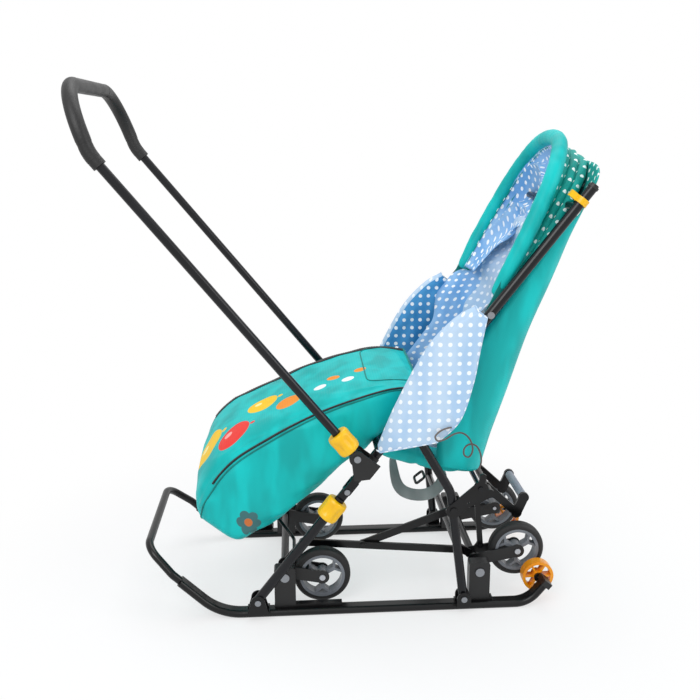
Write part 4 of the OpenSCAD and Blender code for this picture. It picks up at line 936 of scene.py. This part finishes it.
@dataclass
class Hood(Assembly):
    """The folding hood: a padded roll on two hinged arms, the dotted cloth folded behind it, its lining."""

    hinge_along: float = 717.0
    angle: float = 63.6
    reach: float = 350.0
    half: float = 168.0
    roll_d: float = 30.0
    piping_r: float = 1.8
    piping_in: float = 5.0
    piping_down: float = 4.0
    piping_behind: float = 2.2
    cloth_reach: float = 336.0
    cloth_in: float = 16.0
    pleat_depth: float = 11.0
    cloth_thick: float = 1.4
    lining_thick: float = 1.6
    cloth_start: float = 60.4
    fan: float = 14.5
    skew: float = 0.8
    pleats: int = 3
    # Width share and reach share, from the right foot to the top
    arch: tuple = ((1.0, 0.11), (1.03, 0.33), (0.98, 0.58), (0.84, 0.79), (0.55, 0.94), (0.2, 0.995))

    def arch_line(self, count: int) -> np.ndarray:
        """Gives the arch as width share and reach share, from the right foot over the top to the left."""
        right = np.array(self.arch)
        return resample(spline(np.vstack([right, right[::-1] * [-1, 1]]), 12), count)

    def place(self, y: Any, out: Any, angle: Any) -> np.ndarray:
        """Carries a point of the hood's fan into the frame: reach from the hinge at a side-view angle.

        Args:
            y: Place across.
            out: Distance from the hinge line.
            angle: Angle above level in degrees.

        Returns:
            Points in metres.
        """
        hinge = beside(self.hinge_along)
        turn = np.radians(angle - self.skew * y / self.half)
        spots = np.broadcast_arrays(hinge[0] + out * np.cos(turn), y, hinge[1] + out * np.sin(turn))
        return to_frame(np.stack(spots, -1))

    def roll(self) -> list[Object]:
        """Makes the padded roll: a round section along the arch with gathers of the sewn cover.

        Returns:
            The roll and the piping sewn on its back.
        """
        across, high = self.arch_line(220).T
        s = np.linspace(0.0, 1.0, len(across))
        size = 0.72 + 0.28 * np.clip(np.minimum(s, 1 - s) / 0.06, 0, 1) ** 0.5
        puckers = 1 + 0.020 * waves(s * 16, s * 3, 5, 6, 1.6) + 0.012 * np.sin(s * 210)
        radius = self.roll_d / 2 * size * puckers
        square = (-math.sin(math.radians(self.angle)), 0, math.cos(math.radians(self.angle)))
        path = self.place(across * self.half, high * self.reach, self.angle)
        inset = self.place(across * (self.half - self.piping_in), high * self.reach - self.piping_down,
                           self.angle - self.piping_behind)[6:-6]
        return [
            self.tube("coated_nylon_teal", "hood_roll", path, radius, sides=28, up=square),
            self.tube("coated_nylon_teal_deep", "hood_roll_piping", inset, self.piping_r, up=square),
        ]

    def cloth(self) -> Object:
        """Makes the dotted cloth: one sheet laid in pleats behind the roll, deepest at the top.

        The sheet's angle falls from the roll to the back bar, and its reach rises and falls with the
        pleats, so the folds stand one behind the other.

        Returns:
            The sheet, thickened.
        """
        across, high = self.arch_line(150).T
        s = np.linspace(0.0, 1.0, len(across))
        v = np.linspace(0.0, 1.0, 64)[:, None]
        angle = self.cloth_start + 1.5 - (self.fan + 1.5) * v * (1.0 - 0.34 * np.clip(high, 0, 1))
        fold = np.abs(np.sin(np.pi * self.pleats * v)) ** 0.6
        out = high * (self.cloth_reach + 2 * v + self.pleat_depth * fold)
        out = out + 2.2 * waves(s * 5, v * 2, 3, 7, 2.5)
        y = across * (self.half - self.cloth_in + 5 * fold * (1 - 0.4 * v))
        return self.sheet(
            "hood_cloth", self.place(y, out, angle), "dotted_nylon_teal", thick=self.cloth_thick
        )

    def lining(self) -> Object:
        """Makes the hood's lining: cotton hanging from the roll to the back in loose folds, all of it darker
        as painted shade.

        Rules run from the roll's arch to a narrower arch on the back, bellied backwards, and waves
        along the arch make the folds.

        Returns:
            The sheet, thickened.
        """
        across, high = self.arch_line(150).T
        s = np.linspace(0.0, 1.0, len(across))
        v = np.linspace(0.0, 1.0, 60)[:, None]
        calm = np.clip(np.minimum(s, 1 - s) / 0.16, 0, 1)
        folds = waves(s * 4, v * 1.5, 21, 6, 1.7) * np.clip(v * 3, 0, 1) * (0.3 + 0.7 * calm)
        swing = 1 - 2 * np.abs(np.sin((s * 2.1 - v * 0.8) * 2 * np.pi)) ** 0.55
        ripple = swing * np.sin(np.pi * v) * calm
        y = across * self.half * (0.93 - 0.30 * v**1.4) + 5 * folds
        out = high * self.reach * (0.97 - 0.50 * v**1.2) + 26 * v + 9 * folds
        angle = self.angle - 0.6 - 14.5 * v - 2.0 * np.sin(np.pi * v) + 1.8 * folds + 5.4 * ripple
        grid = self.place(y, out, angle)
        depth = np.cumsum(np.linalg.norm(np.diff(grid, axis=0, prepend=grid[:1]), axis=-1), axis=0)
        flat = np.stack(np.broadcast_arrays(arc_lengths(grid[20])[-1] * s, depth), -1)
        # Painted shade: the whole lining wears the darker copy of the pale cotton.
        return self.sheet(
            "hood_lining", grid, "dotted_cotton_shaded", thick=self.lining_thick, flat=flat, flip=True
        )


@dataclass
class BackRest(Assembly):
    """The sling back: a teal bag between the tubes with side gussets, and the dotted lining inside it."""

    half_low: float = 148.0
    half_more: float = 26.0
    # Distances up the main tubes and behind their line, then side-view points
    hem_front: tuple = (483.0, 29.5)
    top_front: tuple = (977.0, 10.5)
    hem_corner: tuple = (266.0, 292.0)
    hem_back: tuple = (372.0, 268.0)
    top_back: tuple = (567.0, 875.0)
    wall: float = 3.0
    seam_r: float = 1.4
    seam_proud: float = 0.6
    seam_share: float = 0.205
    lining_thick: float = 2.0
    lining_start: float = 408.0
    lining_len: float = 475.0
    lining_gap: float = 16.0
    lining_side_gap: float = 9.0
    lining_behind: float = 13.0
    lining_slack: float = 15.0
    # The lining laps over the tubes between these distances up the frame.
    lap_rise: tuple = (610.0, 680.0)
    lap_fall: tuple = (720.0, 790.0)
    lap_ahead: float = 26.0
    lap_reach: float = 17.0
    lap_y: float = 179.0
    # The last plain row of the bag's faces and the last pale column of the lining's; the lining's later
    # columns are painted shade
    dotted_after: int = 96
    shaded_after: int = 106

    def half(self, v: np.ndarray) -> np.ndarray:
        """Gives the half width at a share of the height."""
        return self.half_low + self.half_more * v**0.7

    def trough(self, v: Any, a: Any, inset: float = 0.0) -> np.ndarray:
        """Gives points of the bag: at v up the back, a squared half oval of angle a from side to side.

        Args:
            v: Share of the height from the hem.
            a: Angle across, from minus to plus a quarter turn.
            inset: Distance inside the outer skin.

        Returns:
            Points in millimetres.
        """
        v, a = np.broadcast_arrays(v, a)
        hem_front, hem_back = beside(*self.hem_front), np.array(self.hem_back)
        top_front, top_back = beside(*self.top_front), np.array(self.top_back)
        sag = np.sin(3 * np.pi * v) - 5 * np.sin(np.pi * v)
        ahead = hem_front + (top_front - hem_front) * v[..., None]
        tuck = (1 - smooth_step(v, 0.0, 0.13))[..., None]
        ahead = ahead + (np.array(self.hem_corner) - hem_front) * tuck
        behind = hem_back + (top_back - hem_back) * v[..., None]
        behind = behind + np.stack([sag - inset, np.zeros_like(sag)], -1)
        deep = np.abs(np.cos(a)) ** 0.55
        y = (self.half(v) - inset) * signed_power(np.sin(a), 0.55)
        flat = ahead + (behind - ahead) * deep[..., None]
        return np.stack([flat[..., 0], y, flat[..., 1]], -1)

    def bag(self) -> list[Object]:
        """Makes the teal bag with slack creases, and the seams along its two rear corners.

        Returns:
            The bag and its seams.
        """
        v = np.linspace(0.0, 1.0, 110)[:, None]
        a = np.linspace(-np.pi / 2, np.pi / 2, 100)
        grid = self.trough(v, a)
        edge = np.clip(np.cos(a) * 4, 0, 1) * np.clip(np.minimum(v, 1 - v) * 12, 0, 1)
        pull = np.sin((v * 2.6 + np.abs(a) * 0.8) * 2 * np.pi) * 0.7
        crease = (1.0 * waves(v * 1.2, a * 0.5, 31, 7, 2.4) + pull) * edge
        normal = unit(np.cross(np.gradient(grid, axis=0), np.gradient(grid, axis=1)))
        grid = to_frame(grid - normal * crease[..., None])
        pieces = [self.sheet(
            "back_bag", grid, "coated_nylon_teal", "dotted_nylon_teal", thick=self.wall, offset=1.0,
            second=np.arange(len(v) - 1)[:, None] > self.dotted_after, flip=True,
        )]
        for side in Side:
            k = int(round((0.5 + side.value * self.seam_share) * (len(a) - 1)))
            path = grid[4:-4, k] + np.array([self.seam_proud, 0, 0]) * MM
            pieces.append(self.tube("coated_nylon_teal_deep", f"back_seam_{side.word}", path, self.seam_r))
        return pieces

    def lining(self) -> Object:
        """Makes the lining: a loose dotted sheet a little inside the bag, folded across the back, its far
        side wall darker as painted shade.

        Returns:
            The sheet, thickened.
        """
        v = np.linspace(0.0, 1.0, 120)[:, None]
        a = np.linspace(-np.pi / 2, np.pi / 2, 130)
        up = self.lining_start + self.lining_len * v
        lap_on = smooth_step(up, *self.lap_rise) * (1 - smooth_step(up, *self.lap_fall))
        ahead = beside(up, self.lining_behind - self.lap_ahead * lap_on)
        rear = self.trough(v * 0.82 + 0.05, 0.0, self.lining_gap)[..., [0, 2]]
        deep = np.abs(np.cos(a)) ** 0.6
        flat = ahead + (rear - ahead) * deep[..., None]
        inner = self.half(v) - self.lining_side_gap
        lap = bell(np.linalg.norm(flat - ahead, axis=-1), 0.0, self.lap_reach) * lap_on
        y = inner * signed_power(np.sin(a), 0.62) + (self.lap_y - inner) * lap * np.sign(a)
        ripple = np.sin((v * 4.6 + np.cos(a) * 0.8) * 2 * np.pi)
        loose = 7.0 * waves(v * 2.2, a * 0.35, 41, 8, 2.2) + 6.0 * ripple
        slip = np.clip(np.cos(a) * 2.2, 0.0, 1) * np.clip(np.minimum(v, 1 - v) * 10, 0, 1)
        pull = (loose - self.lining_slack) * slip
        grid = with_y(flat + pull[..., None] * [1, -0.35], y)
        return self.sheet(
            # Painted shade: the columns after shaded_after, on the far side wall, wear the darker cotton.
            "back_lining", grid, "dotted_cotton_pale", "dotted_cotton_shaded", thick=self.lining_thick,
            second=np.arange(len(a) - 1) > self.shaded_after, flip=True,
        )


@dataclass
class Seat(Assembly):
    """The seat: a crowned cushion on the front bar and the webbing loop with its buckle underneath."""

    front: tuple = (151.0, 327.4)
    back: tuple = (325.0, 277.0)
    thick: float = 52.0
    half: float = 142.0
    strap_y: float = -70.0
    strap_w: float = 24.0
    strap_thick: float = 2.2
    strap_turn: float = 62.0
    strap_sunk: float = 1.0
    strap_ends: tuple = (0.27, 0.86)
    strap_low: tuple = ((203, 225), (228, 201), (268, 199), (296, 224))
    # Shares of the seat's length and distances below it
    buckle_at: tuple = (0.66, 34.0)
    buckle_to: tuple = (0.70, 24.0)
    buckle_half: float = 18.0
    buckle_r: float = 2.8

    def axes(self) -> tuple[np.ndarray, np.ndarray, np.ndarray]:
        """Gives the seat's line in the side view.

        Returns:
            The front point, the run to the back and the upward normal.
        """
        front = np.array(self.front)
        run = np.array(self.back) - front
        return front, run, np.array([-run[1], run[0]]) / np.linalg.norm(run)

    def under(self, share: float, below: float) -> np.ndarray:
        """Gives a point at a share of the seat's length, below its underside."""
        front, run, up = self.axes()
        return front + run * share - up * (self.thick / 2 + below)

    def cushion(self) -> Object:
        """Makes the cushion: squared ovals along the seat, swelling between the ends and sewn across.

        Returns:
            The closed cushion.
        """
        front, run, up = self.axes()
        v = np.linspace(0.055, 1.0, 60)[:, None]
        a = np.linspace(0, 2 * np.pi, 96, endpoint=False)
        full = np.maximum(1 - np.abs(2 * v - 1) ** 4, 0.03) ** 0.5
        waist = 1 - 0.03 * np.sin(np.pi * v)
        sewn = 1 - 0.16 * bell(v, 0.5, 0.03) * (np.abs(np.cos(a)) < 0.98)
        rise = self.thick / 2 * 0.97 * full * sewn * signed_power(np.sin(a), 0.8)
        rise = rise + 0.7 * waves(v * 2, np.cos(a), 51, 6, 2.2) * full
        flat = front + run * v[..., None] + up * rise[..., None]
        y = self.half * waist * (0.9 + 0.1 * full) * signed_power(np.cos(a), 0.45)
        grid = with_y(flat, y)
        toe, heel = (np.broadcast_to(grid[k].mean(axis=0), grid[:1].shape) for k in (0, -1))
        return self.sheet("seat_pad", np.vstack([toe, grid, heel]), "coated_nylon_teal", tube=True)

    def strap(self) -> list[Object]:
        """Makes the webbing loop, a flat ribbon with sewn edges, and the buckle bar on its rear end.

        Returns:
            The loop and the buckle.
        """
        start, end = (self.under(share, -self.strap_sunk) for share in self.strap_ends)
        corner = np.vstack([start, self.strap_low, end])
        line = resample(spline(corner, 14), 90)[:, None]
        run = unit(np.gradient(line, axis=0))
        out = np.stack([-run[..., 1], run[..., 0]], -1)
        w = np.linspace(-0.5, 0.5, 13) * self.strap_w
        turn = np.radians(self.strap_turn) * np.sin(np.pi * np.linspace(0, 1, len(line))[:, None]) ** 0.4
        grid = with_y(line + out * (w * np.sin(turn))[..., None], self.strap_y + w * np.cos(turn))
        at = self.under(*self.buckle_at)
        lean = (self.under(*self.buckle_to) - at) * 0.9
        k = np.linspace(0, 2 * np.pi, 80)
        rise, wide = signed_power(np.sin(k), 0.35), signed_power(np.cos(k), 0.35)
        ring = with_y(at + lean * rise[:, None], self.strap_y + self.buckle_half * wide)
        return [
            self.sheet("seat_webbing", grid, "webbing_grey", thick=self.strap_thick),
            self.tube("nylon_black", "seat_buckle", ring, self.buckle_r, sides=10, up=(0.8, 0.1, 0.6),
                      closed_ends=False),
        ]


@dataclass
class TieLace(Assembly):
    """The thin lace tied at the wing's rear corner: one loop of a bow and a hanging end."""

    diameter: float = 3.4
    route: tuple = (
        (288, -208.1, 392), (278, -212.5, 392), (266, -213.5, 387), (257, -213.5, 377), (262, -213.5, 368),
        (276, -213.5, 371), (290, -214.5, 380), (304, -216, 384), (317, -216, 377), (326, -216, 362),
        (328, -215, 346), (322, -213, 334), (313, -212, 338), (313, -212, 351), (323, -212, 359),
        (336, -212, 355), (344, -212, 340), (346, -212, 324), (343, -212, 308),
    )

    def build(self) -> tuple[Object, np.ndarray]:
        """Makes the lace as a round tube on a smooth curve through its route.

        Returns:
            The lace and the points that it follows, in metres.
        """
        path = resample(to_frame(spline(self.route, 10)), 150)
        up = (0.02, 1, 0.03)
        return self.tube("braided_lace", "tie_cord", path, self.diameter / 2, sides=10, up=up), path


@dataclass
class LockCollar(Assembly):
    """One sliding lock collar: a moulded sleeve with six scallops for the fingers."""

    node: str
    body: str
    lean: float
    bore_d: float
    diameter: float = 44.0
    length: float = 43.0
    scallops: int = 6
    scallop_depth: float = 3.0
    clearance: float = 0.4
    chamfer: float = 1.2

    def build(self) -> Object:
        """Makes the sleeve: a rounded profile turned about the tube, dented evenly round its belly.

        Returns:
            The collar at its node's place.
        """
        centre = np.mean(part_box(self.node), axis=0)
        half, belly, bore = self.length / 2, self.diameter / 2, self.bore_d / 2 + self.clearance
        rim = [(bore + self.chamfer, -half), (belly - 3.6, 0.4 - half), (belly - 1.4, 3.5 - half),
               (belly - 0.2, 9 - half)]
        outer = spline([*rim, (belly - 0.6, 0), *((r, -z) for r, z in rim[::-1])], 5)
        inner = [(bore, half - self.chamfer), (bore, 0.0), (bore, self.chamfer - half)]
        r, along = np.vstack([outer, inner]).T[..., None]
        dent = np.exp(-((outer[:, 1] / (half * 0.62)) ** 4))
        dent = np.concatenate([dent, np.zeros(len(inner))])[:, None]
        a = np.linspace(0, 2 * np.pi, 96, endpoint=False)
        r = r - self.scallop_depth * dent * np.abs(np.cos(a * self.scallops / 2)) ** 3
        cos, sin = math.cos(math.radians(self.lean)), math.sin(math.radians(self.lean))
        out = r * np.cos(a)
        spots = np.stack([cos * along - sin * out, r * np.sin(a), sin * along + cos * out], -1)
        made = surface(f"{self.node}_moulding", centre + MM * spots, wrap=(True, True))
        merge_close(made, 1e-6)
        return dress(made, self.finishes["abs_yellow"])


# The studio, with sizes in metres


@dataclass
class Studio:
    """The white sweep, the soft lamps and the camera at the photograph's viewpoint."""

    place: tuple = (-MIDDLE_X * MM, -1.7476, 0.9407)
    yaw: float = 0.0637
    pitch: float = 0.2484
    roll: float = -0.0048
    lens: float = 45.0
    sensor: float = 36.0
    ambient: float = 0.5
    floor_half: float = 14.0
    # Name, place, aim, size and power of each lamp
    lamps: tuple = (
        ("key_lamp", (-1.3, -2.1, 2.3), (0, 0, 0.45), 1.7, 44.0),
        ("side_lamp", (2.1, -1.2, 1.5), (0.1, 0, 0.5), 1.5, 19.0),
        ("top_lamp", (0.2, 0.6, 2.6), (0.1, 0, 0.4), 1.8, 24.0),
    )

    def camera(self) -> None:
        """Sets the camera from its yaw, pitch and roll."""
        right = np.array([math.cos(self.yaw), -math.sin(self.yaw), 0.0])
        level = np.array([math.sin(self.yaw), math.cos(self.yaw), 0.0])
        ahead = level * math.cos(self.pitch) - np.array([0.0, 0.0, math.sin(self.pitch)])
        up = np.cross(right, ahead)
        across = math.cos(self.roll) * right + math.sin(self.roll) * up
        top = -math.sin(self.roll) * right + math.cos(self.roll) * up
        data = bpy.data.cameras.new("camera")
        data.lens, data.sensor_width, data.clip_end = self.lens, self.sensor, 60.0
        made = bpy.data.objects.new("camera", data)
        turn = Matrix([list(row) for row in np.stack([across, top, -ahead], -1)])
        made.matrix_world = Matrix.Translation(Vector(self.place)) @ turn.to_4x4()
        bpy.context.scene.collection.objects.link(made)
        bpy.context.scene.camera = made

    def lamp(self, name: str, at: Sequence[float], aim: Sequence[float], size: float, power: float) -> None:
        """Adds one soft square lamp turned to a point.

        Args:
            name: Object name.
            at: Its place.
            aim: The point that it faces.
            size: Length of its sides in metres.
            power: Power in watts.
        """
        data = bpy.data.lights.new(name, "AREA")
        data.size, data.energy = size, power
        made = bpy.data.objects.new(name, data)
        made.location = at
        made.rotation_euler = (Vector(aim) - Vector(at)).to_track_quat("-Z", "Y").to_euler()
        bpy.context.scene.collection.objects.link(made)

    @staticmethod
    def shown(graph: NodeGraph) -> NodeSocket:
        """Tells the rays of the camera, a reflection or a view through glass from the others.

        Args:
            graph: The nodes to add to.

        Returns:
            A socket that is 1 for those rays.
        """
        seen, *mirrors = (graph.add("LightPath", want=f"Is {ray} Ray")
                          for ray in ("Camera", "Glossy", "Transmission"))
        mirror = graph.add("Math", dict(enumerate(mirrors)), operation="MAXIMUM")
        return graph.add("Math", {0: seen, 1: mirror}, operation="MAXIMUM")

    def world(self) -> None:
        """Lights the room evenly, and shows white to the camera and in reflections."""
        scene = bpy.context.scene
        scene.world = scene.world or bpy.data.worlds.new("studio")
        graph = NodeGraph.of(scene.world)
        soft = graph.add("Background", {"Color": "#f7f9ff", "Strength": self.ambient})
        white = graph.add("Background", {"Color": "#ffffff", "Strength": 1.0})
        both = graph.add("MixShader", {0: self.shown(graph), 1: soft, 2: white})
        graph.add("OutputWorld", {"Surface": both})

    def floor(self) -> Object:
        """Lays the floor: white paper that shows the shadow near the stroller and turns to plain white.

        Returns:
            The floor.
        """
        line = np.linspace(-self.floor_half, self.floor_half, 29)
        grid = np.stack(np.broadcast_arrays(line[:, None], line, 0.0), -1)
        paper = bpy.data.materials.new("paper_white")
        graph = NodeGraph.of(paper)
        matt = {"Base Color": (0.92, 0.92, 0.92, 1), "Roughness": 0.9, "Specular IOR Level": 0.1}
        shader = graph.add("BsdfPrincipled", matt)
        place = graph.add("TexCoord", want="Object")
        far = graph.add("VectorMath", {0: place}, "Value", operation="LENGTH")
        fade = graph.ramp(far, 0.35, 0.95, 0.62, 1.0)
        seen = graph.add("Math", {0: self.shown(graph), 1: fade}, operation="MULTIPLY")
        glow = graph.add("Emission", {"Color": "#ffffff", "Strength": 1.0})
        both = graph.add("MixShader", {0: seen, 1: shader, 2: glow})
        graph.add("OutputMaterial", {"Surface": both})
        return dress(surface("studio_floor", grid, flip=True, smooth=False), paper)

    def build(self) -> None:
        """Sets the camera, the lamps, the world and the floor."""
        bpy.context.scene.view_settings.view_transform = "Standard"
        self.camera()
        for lamp in self.lamps:
            self.lamp(*lamp)
        self.world()
        self.floor()


NODE_FINISH = {
    "enamel_navy": ("rear_leg_left", "rear_leg_right", "rear_stretcher", "hem_rod", "lower_leg_left",
                    "lower_leg_right", "main_tube_left", "main_tube_right", "seat_front_bar", "top_bar",
                    "handle_tube"),
    "enamel_black": ("runner_left", "runner_right", "front_bar", "leg_brackets", "front_axle_tube",
                     "rear_axle_tube", "tie_bar", "pedal_lever", "pedal_strut", "footrest_stay",
                     "latch_plates"),
    "nylon_black": ("tail_caps", "wheel_posts", "front_forks", "rear_forks", "handle_brackets", "tube_caps"),
    "coated_nylon_teal_deep": ("hood_arms",),
    "polished_rivet": ("base_rivets", "frame_bolts"),
    "zinc_plated_steel": ("front_hub_bolts", "rear_hub_bolts"),
    "rubber_tyre": ("front_tyre_left", "front_tyre_right", "rear_tyre_left", "rear_tyre_right"),
    "abs_rim_grey": ("front_rim_left", "front_rim_right", "rear_rim_left", "rear_rim_right"),
    "abs_orange": ("transport_wheel_left", "transport_wheel_right"),
    "abs_yellow": ("hood_clips",),
    "foam_sleeve_grey": ("pedal_sleeve",),
    "rubber_grip": ("handle_grip",),
}


def sheet_area(made: Object) -> float:
    """Measures a sheet's own area, before its thickness.

    Args:
        made: The sheet.

    Returns:
        Square metres.
    """
    areas = np.empty(len(made.data.polygons))
    made.data.polygons.foreach_get("area", areas)
    return float(areas.sum())


def main() -> None:
    """Builds the stroller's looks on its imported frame, piece by piece."""
    logging.basicConfig(level=logging.INFO, format="%(name)s: %(message)s")
    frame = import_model()
    finishes = {finish.name: finish.material() for finish in FINISHES}
    Studio().build()
    for finish, nodes in NODE_FINISH.items():
        for node in nodes:
            dress(frame["nodes"][node], finishes[finish])

    lace, path = TieLace(finishes).build()
    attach(lace, "main_frame")
    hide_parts("tie_lace")

    muff = FootMuff(finishes).build()
    for piece in muff:
        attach(piece, "main_frame")
    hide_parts("foot_muff")
    LOG.info("foot muff of %d pieces", len(muff))

    for side in Side:
        wing = SidePanel(finishes, side).build()
        for piece in wing:
            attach(piece, "main_frame")
            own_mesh(piece)
        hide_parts(f"side_panel_{side.word}")
        LOG.info("%s wing", side.word)

    hood = Hood(finishes)
    roll = hood.roll()
    for piece in roll:
        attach(piece, "hood")
    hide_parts("hood_edge")
    for sheet, node, slot, low, high, held in (
        (hood.cloth(), "hood_cover", "dotted_nylon", 50.0, 61.0, "folded"),
        (hood.lining(), None, "liner_dots", 48.0, 63.0, "hung"),
    ):
        area = sheet_area(sheet)
        start, end = (hood.place(0.0, 230.0, angle) for angle in (low, high))
        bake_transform(sheet)
        if node:
            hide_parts(node)
        LOG.info("%s of %.3f square metres", sheet.name, area)

    back = BackRest(finishes)
    bag = back.bag()
    lining = back.lining()
    for piece in (*bag, lining):
        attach(piece, "main_frame")
        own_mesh(piece)
    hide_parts("back_cover")
    for sheet in (bag[0], lining):
        area = sheet_area(sheet)
        LOG.info("%s of %.3f square metres", sheet.name, area)

    seat = Seat(finishes)
    cushion = seat.cushion()
    strap = seat.strap()
    for piece in (cushion, *strap):
        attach(piece, "seat")
    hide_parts("seat_cushion")
    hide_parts("seat_strap")
    LOG.info("seat cushion and webbing loop")

    for side in Side:
        for collar in (
            LockCollar(finishes, f"lower_collar_{side.word}", f"lower_lock_{side.word}", 52.0, 19.0),
            LockCollar(finishes, f"upper_collar_{side.word}", f"upper_lock_{side.word}", 129.0, 17.0),
        ):
            moulding = collar.build()
            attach(moulding, collar.body)
            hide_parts(collar.node)
            LOG.info("%s", moulding.name)


if __name__ == "__main__":
    main()
